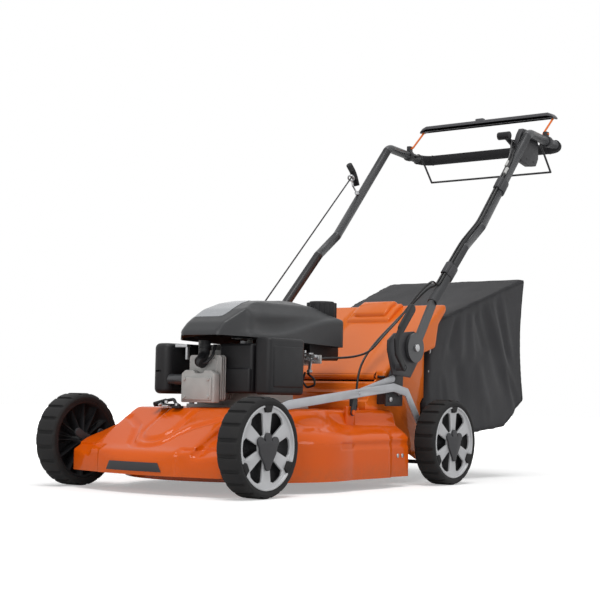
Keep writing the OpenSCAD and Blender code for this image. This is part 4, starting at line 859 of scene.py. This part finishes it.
# %% Rear door
slope, slope_y, slope_z = math.radians(33), 203, 274
hinge_y, hinge_z, door_half, door_t, cheek_in = 200, 262, 195.5, 2.8, 191


def on_door(a, b):
    """A point in millimetres along the door's slope and above it, as y and z."""
    c, s = math.cos(slope), math.sin(slope)
    return slope_y + a * c - b * s, slope_z + a * s + b * c


def door_part(profile, half, *edge):
    """A profile on the door's slope, drawn out to both sides."""
    return plate([on_door(a, b) for a, b in profile], "x", -half, half, *edge)


crown = [on_door(a, 0) for a in (0, 60, 200, 340)]
wedge = plate(crown + [(489, 438), (452, 401), (438, 341), (380, 325), (204, 255)],
              "x", -door_half, door_half, 6, 4, 20)
wedge = melted(wedge, voxel=3.6, rounds=3)
drop(wedge, lambda x, y, z: abs(x) < cheek_in and z - slope_z < (y - slope_y) * math.tan(slope) - 9)
bmesh.ops.solidify(wedge, geom=wedge.faces, thickness=door_t / 1000)
grip = door_part([(258, -1), (268, 17), (300, 22), (325, 20), (334, 11), (337, -1)], 50, 5, 4, 20)
grip = carved(grip, door_part([(326, 14), (338, 12), (339, 4), (326, 4)], 40))
plinth = door_part([(244, -2), (252, 7), (300, 12), (328, 10), (336, -2)], 66, 3.5, 3, 20)
curl = [(hinge_y + r * math.cos(math.radians(t)), hinge_z + r * math.sin(math.radians(t)))
        for r, turn in ((8, range(100, -241, -20)), (4.6, range(-240, 101, 20))) for t in turn]
curl = prism(curl + [on_door(*p) for p in ((0, -2.6), (6, -2.6), (6, 0), (0, 0))], "x", -169, 169)
piece("rear_door_skin", joined(wedge, grip, plinth, curl), orange_plastic, "door",
      ["rear_door"], 50)
print("door made,", 2 * door_half, "mm wide")

# %% [markdown]
# Four wheels: a rubber tyre with blocks, a black core with ribs on its inner face, a silver cover
# with six windows and a dark cap over the axle. The drawn solids have all of that, so they only
# need soft edges. Each rim is three lumps, told apart by their thickness and height, and each lump
# becomes a piece of its own. Three keys of the tyre's rubber show in the rim of the cover.

# %% Wheels
axle_z, half_base, core_thick, cover_tall = 105, 371, 16, 120


def is_core(low, high):
    return high[0] - low[0] > core_thick


def is_cover(low, high):
    return not is_core(low, high) and high[2] - low[2] > cover_tall


def is_cap(low, high):
    return not is_core(low, high) and not is_cover(low, high)


def tyre_keys(side, axle_y):
    """Three tapered blocks round the axle."""
    keys, taper = [], ((73.4, -8.6), (73.4, 8.6), (87.8, 13.8), (87.8, -13.8))
    for turn in (90, 210, 330):
        c, s = math.cos(math.radians(turn)), math.sin(math.radians(turn))
        outline = [(axle_y + a * c - b * s, axle_z + a * s + b * c) for a, b in taper]
        keys.append(plate(outline, "x", *sorted((side * 286, side * 293.4))))
    return joined(*keys)


for corner in ("front_left", "front_right", "rear_left", "rear_right"):
    dressed("tyre_" + corner, tyre_rubber, 1.3)
    rim = "rim_" + corner
    dressed(rim, black_plastic, 0, 2, is_core, rim + "_core")
    dressed(rim, rim_silver, 1.0, 2, is_cover, rim + "_cover")
    dressed(rim, dark_plastic, 1.4, 3, is_cap, rim + "_cap")
    side, axle_y = 1 if "left" in corner else -1, half_base * (-1 if "front" in corner else 1)
    piece("tyre_keys_" + corner, tyre_keys(side, axle_y), tyre_rubber, body_of[rim], (), 45)
print("wheels dressed")

# %% [markdown]
# The rest of the drawn solids keep their shapes and get soft edges and their finish. The table
# says which finish, how wide the edge is in millimetres and in how many steps.

# %% Dress the other solids
table = {
    "front_insert": (dark_plastic, 1.0, 2), "chute": (orange_plastic, 0.8, 2),
    # the hinge rod is black lacquered as painted shade, standing in for the dark gap along the door's
    # hinge
    "door_rod": (black_paint, 0.5, 1), "wash_nozzle": (black_plastic, 0.6, 2),
    "handle_brackets": (dark_plastic, 1.4, 3), "release_lever_left": (black_plastic, 2.4, 3),
    "release_lever_right": (black_plastic, 2.4, 3), "crankcase": (cast_alloy, 0.8, 2),
    "cylinder_head": (cast_alloy, 0.5, 1), "muffler": (grey_paint, 1.0, 2),
    "carburettor": (cast_alloy, 1.0, 2), "fuel_tank": (black_plastic, 3.0, 3),
    "filler_neck": (black_plastic, 0.6, 2), "fuel_cap": (black_plastic, 0.9, 2),
    "flywheel": (cast_alloy, 0.5, 1), "starter_pulley": (black_plastic, 0.5, 1),
    "crankshaft": (bright_steel, 0.5, 1), "blade_hub": (grey_paint, 0.8, 2),
    "blade": (black_paint, 0.5, 1), "blade_bolt": (bright_steel, 0.5, 1),
    "drive_belt": (tyre_rubber, 0.5, 1), "gearbox": (cast_alloy, 1.5, 2),
    "gearbox_pulley": (grey_paint, 0.5, 1), "drive_shaft": (bright_steel, 0.5, 1),
    "pinion_left": (bright_steel, 0.0, 1), "pinion_right": (bright_steel, 0.0, 1),
    "rear_arms": (dark_plastic, 0.8, 2), "front_arms": (dark_plastic, 0.8, 2),
    "height_link": (silver_bar, 0.9, 2), "height_lever": (lever_bar, 0.9, 2),
    "handle_tube": (grey_paint, 0.0, 1), "handle_grip": (grip_foam, 1.2, 2),
    "drive_bail": (black_paint, 0.0, 1), "control_housing": (dark_plastic, 3.0, 4),
    "speed_lever": (black_plastic, 1.4, 2), "cable_clips": (dark_plastic, 1.0, 2),
    "rope_guide": (bright_steel, 0.0, 1), "starter_handle": (black_plastic, 0.0, 1),
    "bag_frame": (bright_steel, 0.0, 1), "fasteners": (bright_steel, 0.6, 2)}
for node, (finish, width, steps) in table.items():
    dressed(node, finish, width, steps)
print(len(table), "solids dressed")

# %% [markdown]
# The front of the engine shows its castings. The valve cover is a block with a shallow step round
# its face and a notch for the ignition lead at its top. The plug's boot is moulded rubber: a fat
# sleeve that comes down from under the cover and ends in an elbow over the plug. A bright strip
# of steel beside it ties the cover to the head, and studs with nuts hold the valve cover.

# %% Valve cover, plug and boot
face = plate([(-24, 194), (73, 194), (73, 258), (62, 266), (44, 266), (38, 259), (16, 259), (10, 266),
              (-13, 266), (-24, 258)], "y", -290, -270.3, 2.6, 3, 25)
lip = plate(box_outline(-18, 199, 67, 250), "y", -295, -288, 2.2, 3)
nuts = [soften(rod((x, -288, z), (x, -298, z), 4.2), 0.6, 1) for z in (206, 246) for x in (-10, 60)]
piece("valve_cover_skin", joined(face, lip, *nuts), cast_alloy, "chassis",
      ["valve_cover"], 40)
boot = bar(bent([(22, -262, 331), (24, -268, 300), (28, -286, 286), (40, -289, 281)], 20), 12, 10)
sleeves = [rod((22.4, -263, 322), (22.9, -265, 314), 14), rod((27, -284, 287), (31, -288, 284), 13.5)]
lead = bar(bent([(40, -289, 281), (50, -288, 283), (56, -276, 300), (50, -262, 322)], 10), 3.4, 6)
piece("plug_boot", joined(boot, *sleeves, lead), black_plastic, "chassis",
      ["spark_plug"], 45)
strap = [plate(box_outline(-70, 318, -34, 325), "y", -262, -250),
         plate(box_outline(-40, 290, -34, 325), "y", -260, -252)]
piece("head_strap", joined(*strap), bright_steel, "chassis", (), 40)
print("valve cover held by", len(nuts), "nuts")

# %% [markdown]
# Beside the filter box a plate carries the ends of the cables. On it sit a pivoting lever, a
# return spring and a stop screw, and below it hang the wire loop of the brake and, behind the
# loop, the round bowl of the carburettor. In front of the engine the oil drain and a few clips lie
# on the deck. The spring is a bar wound round a line, the others are bars and small plates.

# %% Governor lever, spring and brake loop
def coil(start, end, radius, wire, turns, steps=12):
    """A spring from one point to another, in millimetres, with steps points to a turn."""
    a, b = at(*start), at(*end)
    ahead = (b - a).normalized()
    first = ahead.cross(Vector((0, 0, 1))).normalized() * radius / 1000
    second = ahead.cross(first)
    path = []
    for i in range(turns * steps + 1):
        angle = 2 * math.pi * i / steps
        path.append(a.lerp(b, i / (turns * steps)) + first * math.cos(angle) + second * math.sin(angle))
    return bar(path, wire, 3)


def chip(low, high, edge, last=0.3):
    """A small box with round edges."""
    return soften(block(low, high, edge), last, 1)


linkage = [coil((106, -20, 301), (150, -20, 296), 3.6, 0.8, 9), rod((150, -30, 304), (150, -14, 304), 5),
           plate([(112, 292), (160, 298), (160, 305), (112, 300)], "y", -22, -19),
           plate([(130, 268), (137, 268), (141, 294), (133, 296)], "y", -24, -20),
           rod((134, -26, 270), (134, -16, 270), 4.5), chip((108, -30, 309), (140, -14, 313), 1),
           rod((122, -24, 306), (122, -24, 319), 3.2)]
piece("governor_linkage", joined(*linkage), bright_steel, "chassis", (), 40)
wire = [(122, -22, 268), (116, -24, 246), (128, -22, 232), (148, -18, 238), (146, -18, 252),
        (128, -22, 266)]
bowl = soften(turned([(0, 262), (17, 262), (19, 268), (19, 296), (0, 296)], 112, -60, 40), 2, 3, 30)
piece("brake_loop", joined(bar(bent(wire, 7), 2.6, 6), bowl), black_plastic, "chassis",
      (), 45)

# %% Oil drain and clips on the front of the deck
drain = [chip((-72, -322, 183.2), (-26, -304, 190), 1.6), rod((-66, -330, 188), (-58, -300, 196), 5.5),
         bar(bent([(-60, -302, 196), (-30, -306, 200), (-14, -316, 190), (2, -322, 186)], 12), 3.6, 6),
         chip((-20, -326, 180.5), (4, -310, 186), 1.4)]
piece("deck_clip_black", joined(*drain), black_plastic, "chassis", (), 45)
tips = [rod((-36, -324, 191), (-36, -324, 197), 4.2), rod((-8, -320, 186), (-8, -320, 191), 4.6),
        rod((-52, -330, 186), (-44, -330, 190), 3), chip((-46, -330, 184), (-26, -322, 187), 0.8, 0.2)]
piece("deck_clip_bright", joined(*tips), bright_steel, "chassis", (), 40)
print("linkage of", len(linkage), "parts, clips of", len(drain) + len(tips))

# %% [markdown]
# The brake bail is a padded bar that is squeezed against the grip. Two orange rods carry it, so
# it can't be one copy in one colour: the bar is drawn out and rounded again, and the rods are
# bent round bars.

# %% Brake bail
bail = plate([(-231, 1031), (-213, 1036), (-206, 1038), (206, 1038), (213, 1036), (231, 1031),
              (231, 1037), (222, 1046), (208, 1052), (-208, 1052), (-222, 1046), (-231, 1037)],
             "y", 1017, 1043, 4.5, 4, 40)
latch_pad = plate([(1018, 1049), (1036, 1049), (1034, 1058), (1020, 1058)], "x", -34, -8, 2, 3)
piece("brake_bail_bar", joined(bail, latch_pad), bail_plastic, "brake", ["brake_bail"], 45)
rods = [bar(bent([(s * 241, 965, 976), (s * 221.5, 965, 976), (s * 221.5, 1028, 1033)], 6), 3)
        for s in (-1, 1)]
piece("brake_bail_rods", joined(*rods), orange_plastic, "brake", ["brake_bail"], 45)
print("brake bail made")

# %% [markdown]
# Two sheathed cables leave the lever housing, run down the left leg under the clips and go on to
# the deck and the engine. Their drawn solids follow the real route with eight sides, so one level
# of subdivision makes them round. They cross the pivot of the handle, but here they stay in one
# piece on no body, and so does the starter rope. Pale couplings sit on the cables, and two dark
# screws hold the housing together.

# %% Cables and starter rope
def smoother(bm):
    """A mesh after one level of subdivision."""
    return through(bm, "SUBSURF", {"levels": 1, "render_levels": 1})


cables = smoother(copy_of("control_cables"))
cables = piece("cables", cables, cable_sheath, None, ["control_cables"], 60)
at(190, 262, 385)
at(225, 366, 500)
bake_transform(cables)


def on_leg(aside, along):
    """A point over the left leg, a share of the way up its straight part."""
    return 235 + aside, 580.1 + 260 * along, 680.5 + 292 * along


couplings = [soften(rod(on_leg(aside, start), on_leg(aside, end), 4.4), 0.8)
             for aside, start, end in ((3.75, 0.50, 0.56), (-3.75, 0.58, 0.635))]
piece("cable_couplings", joined(*couplings), pale_plastic, "handle", (), 45)
screws = [rod((221.5, y, z), (222.6, y, z), 3.6) for y, z in ((868, 890), (908, 888))]
piece("housing_screws", joined(*screws), black_plastic, "handle", (), 45)
rope = piece("rope", copy_of("starter_rope"), seam_tape, None, ["starter_rope"], 60)
at(-95, 110, 460)
at(-210, 560, 780)
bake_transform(rope)
print("cables and rope laid,", len(couplings), "couplings on them")

# %% [markdown]
# The grass bag hangs from a wire frame behind the door. Its cloth is tight along the sewn seams
# and slack between them, so the rear corners stand out, the edges between them draw in, and
# folds run from the corners over the sides. It starts as a closed solid with the bag's outline
# and is remeshed to even quads. Every vertex is then moved by how far it lies from a seam and from
# the folds. A cloth simulation under pressure would blow the walls out, but an empty bag draws in.

# %% Bag shell
mouth_y, top_y, rear_y, low_z = 430, 488, 861, 130
mouth_half, rear_side, corner_top, corner_low = 189, 225, 553, 205
bag_outline = [(mouth_y, 405), (top_y, 425), (rear_y, corner_top), (855, corner_low), (771, 138),
               (592, 119), (440, 150), (404, 188)]
bag_plan = [(-mouth_half, 380), (mouth_half, 380), (mouth_half, top_y), (rear_side, rear_y + 1),
            (-rear_side, rear_y + 1), (-mouth_half, top_y)]
bag = shared(prism(bag_outline, "x", -230, 230), prism(bag_plan, "z", 60, 600))
bag = melted(bag, voxel=7.0, rounds=2)
print("bag:", len(bag.faces), "quads")


# %% Folds of the side walls
def wall_half(y):
    """Half width of the bag at a given y."""
    return mouth_half + (rear_side - mouth_half) * clamped((y - top_y) / (rear_y - top_y))


def top_of(y):
    """Height of the bag's top at a given y."""
    return 405 + (y - mouth_y) * (corner_top - 405) / (rear_y - mouth_y)


# Folds of a side wall, from one point to another, each point as shares along and down the wall,
# then the fold's width and height in millimetres. A height below zero is a valley.
folds = [
    (0.60, 0.02, 0.97, 0.97, 11, 8), (0.54, 0.06, 0.84, 0.84, 20, -7),
    (0.74, 0.06, 0.90, 0.56, 9, 4.5), (0.69, 0.05, 0.86, 0.60, 12, -4),
    (0.47, 0.10, 0.62, 0.46, 12, -6), (0.41, 0.08, 0.46, 0.50, 14, 5),
    (0.27, 0.06, 0.22, 0.36, 11, -6.5), (0.33, 0.05, 0.31, 0.48, 13, 5.5),
    (0.16, 0.08, 0.10, 0.42, 12, 4), (0.30, 0.45, 0.36, 0.95, 22, -5),
    (0.52, 0.50, 0.60, 0.97, 20, 4.5), (0.12, 0.50, 0.16, 0.95, 20, 5)]


def fold_height(y, z, run=430):
    """How far the folds push a point of a side wall outwards."""
    total = 0.0
    for along0, down0, along1, down1, width, height in folds:
        y0, y1 = mouth_y + run * along0, mouth_y + run * along1
        z0, z1 = (top_of(y) - down * (top_of(y) - low_z) for down in (down0, down1))
        dy, dz = y1 - y0, z1 - z0
        t = ((y - y0) * dy + (z - z0) * dz) / (dy * dy + dz * dz)
        gap = math.hypot(y - y0 - t * dy, z - z0 - t * dz)
        spread = width * (0.7 + 0.6 * clamped(t))
        ends = ease(t, -0.12, 0.14) * (1 - ease(t, 0.72, 1.08))
        total += height * math.exp(-(gap / spread) ** 2) * ends
    return total


# %% Let the cloth sag
def sag(bm, run=430):
    """Pulls the cloth in between the seams and lays folds over the sides."""
    bm.normal_update()
    for vert in bm.verts:
        x, y, z = measured(vert.co)
        half, top = wall_half(y), top_of(y)
        side = ease(abs(x), half - 30, half - 6)
        down, along = clamped((top - z) / (top - low_z)), clamped((y - mouth_y) / run)
        belly = 9 * math.sin(math.pi * down ** 0.8) * math.sin(math.pi * along)
        rough = 2.4 * noise.noise(Vector((y / 70, z / 110, 3 if x > 0 else 8)))
        inward = side * ease(down, 0.0, 0.10) * (belly + rough - 1.25 * fold_height(y, z))
        # the rear face and its edges draw in between the upper and the lower corner
        rear = ease(y, 740, 850) * math.sin(math.pi * clamped((548 - z) / 343))
        move = Vector((-math.copysign(inward, x) - math.copysign(5 * rear * side, x),
                       -rear * (13 + 3 * math.sin(5 * math.pi * x / rear_side + 1)), 0))
        # the top sags between the wires
        if z > top - 14:
            across = math.cos(min(1.0, abs(x) / half) * math.pi / 2)
            ripple = 1.6 * noise.noise(Vector((x / 60, y / 60, 1)))
            move.z = ripple - across * 11 * math.sin(math.pi * along)
        vert.co += move / 1000


sag(bag)
relax(bag, 2)
bag_skin = BVHTree.FromBMesh(bag)
print("the folds reach", round(max(fold_height(y, 300) for y in range(430, 860, 5)), 1), "mm halfway down")

# %% [markdown]
# Seams are taped: a narrow band of webbing is sewn over each edge. A band follows the finished
# cloth, so its middle line is laid near the edge, and every point of it is moved to the nearest
# point of the cloth before the band gets its width.

# %% Seam tape
tape_t = 1.5


def tape(points, width, spare=1.2, stitch=8):
    """A flat band along a line in millimetres, laid on the bag."""
    line = []
    for a, b in zip(points, points[1:]):
        steps = max(2, int((Vector(b) - Vector(a)).length / stitch))
        line += [at(*(Vector(a).lerp(Vector(b), i / steps))) for i in range(steps)]
    line.append(at(*points[-1]))
    bm, rows = bmesh.new(), []
    for i, place in enumerate(line):
        spot, normal, _, _ = bag_skin.find_nearest(place)
        ahead = (line[min(i + 1, len(line) - 1)] - line[max(i - 1, 0)]).normalized()
        sideways = normal.cross(ahead).normalized() * width / 2000
        rows.append([])
        for edge in (-1, 0, 1):
            touch, out, _, _ = bag_skin.find_nearest(spot + sideways * edge)
            rows[-1].append(bm.verts.new(touch + out * (spare + 0.4 * (edge == 0)) / 1000))
    for first, second in zip(rows, rows[1:]):
        for i in (0, 1):
            bm.faces.new([first[i], first[i + 1], second[i + 1], second[i]])
    bmesh.ops.recalc_face_normals(bm, faces=bm.faces)
    bmesh.ops.solidify(bm, geom=bm.faces, thickness=tape_t / 1000)
    return bm


seams = [tape([(-222, 859, 550), (222, 859, 550)], 9)]
for s in (-1, 1):
    top_edge = [(s * mouth_half, 434, 404), (s * mouth_half, top_y, 424), (s * rear_side, 857, 550)]
    rear_edge = [(s * 224, 858, 548), (s * 224, 852, 207), (s * 218, 771, 140), (s * 200, 592, 121)]
    seams += [tape(top_edge, 9), tape(rear_edge, 8)]
piece("bag_seams", joined(*seams), seam_tape, "bag", (), 45)
piece("bag_cloth_skin", smoother(bag), bag_fabric, "bag", ["bag_cloth"], 80)
print("bag sewn,", len(seams), "bands of tape")

# %% [markdown]
# The studio is plain: a pale floor that melts into a white background, a broad soft sun from above
# and softer lamps in front and beside the machine. Light Path lets the background be white for the
# camera and in reflections while it lights the object only softly. The floor glows to the camera
# alone, and more so further out, so that it has no horizon and still keeps the shadow.

# %% Background
world = bpy.data.worlds.new("studio")
bpy.context.scene.world = world
world.use_nodes = True
tree = world.node_tree
tree.nodes.clear()
world_light = 0.34


def world_node(kind, *sockets, **settings):
    """A node of the world, its inputs linked in their order."""
    made = tree.nodes.new("ShaderNode" + kind)
    for key, value in settings.items():
        setattr(made, key, value)
    for socket, source in zip(made.inputs, sockets):
        tree.links.new(source, socket)
    return made


rays = world_node("LightPath").outputs
either = world_node("Math", rays["Is Camera Ray"], rays["Is Transmission Ray"], operation="MAXIMUM")
any_of = world_node("Math", either.outputs[0], rays["Is Glossy Ray"], operation="MAXIMUM")
soft, white = world_node("Background"), world_node("Background")
for sky in (soft, white):
    sky.inputs["Color"].default_value = (1, 1, 1, 1)
soft.inputs["Strength"].default_value = world_light
blend = world_node("MixShader", any_of.outputs[0], soft.outputs[0], white.outputs[0])
world_node("OutputWorld", blend.outputs[0])


# %% Lamps
def lamp(name, kind, place, target, size, power):
    """A lamp that looks at a target. A sun's size is an angle, that of the others a width."""
    light = bpy.data.lights.new(name, kind)
    if kind == "SUN":
        light.angle, light.energy = size, power
    else:
        light.shape, light.size, light.energy = "DISK", size, power
    obj = bpy.data.objects.new(name, light)
    obj.location = place
    obj.rotation_euler = (Vector(target) - Vector(place)).to_track_quat("-Z", "Y").to_euler()
    bpy.context.scene.collection.objects.link(obj)


lamp("sun", "SUN", (0.6, -0.7, 3.4), (0, 0, 0.3), 0.5, 1.55)
lamp("front", "AREA", (1.2, -3.6, 1.1), (0, -0.3, 0.3), 1.4, 24)
lamp("side", "AREA", (3.4, 0.4, 1.3), (0, 0.2, 0.4), 1.2, 13)

# %% Floor
floor = Finish("studio_floor", {"Roughness": 0.7, "Specular IOR Level": 0.1, "Emission Strength": 1.0})
floor.set("Base Color", floor.mixed(floor.cloud(0.5, 2), (0.80, 0.80, 0.80, 1), (0.83, 0.83, 0.83, 1)))
away = floor.node("VectorMath", {"operation": "LENGTH"}, {0: floor.place()}, 1)
seen = floor.node("LightPath")
floor.set("Emission Color", floor.mixed(seen * (0.33 + 0.67 * floor.ease(away, 0.75, 2.0)),
                                        (0, 0, 0, 1), (1, 1, 1, 1)))
ground = bmesh.new()
bmesh.ops.create_grid(ground, x_segments=2, y_segments=2, size=12)
in_scene("studio_floor", ground, floor)
bpy.context.scene.view_settings.view_transform = "Standard"
print("studio lit")
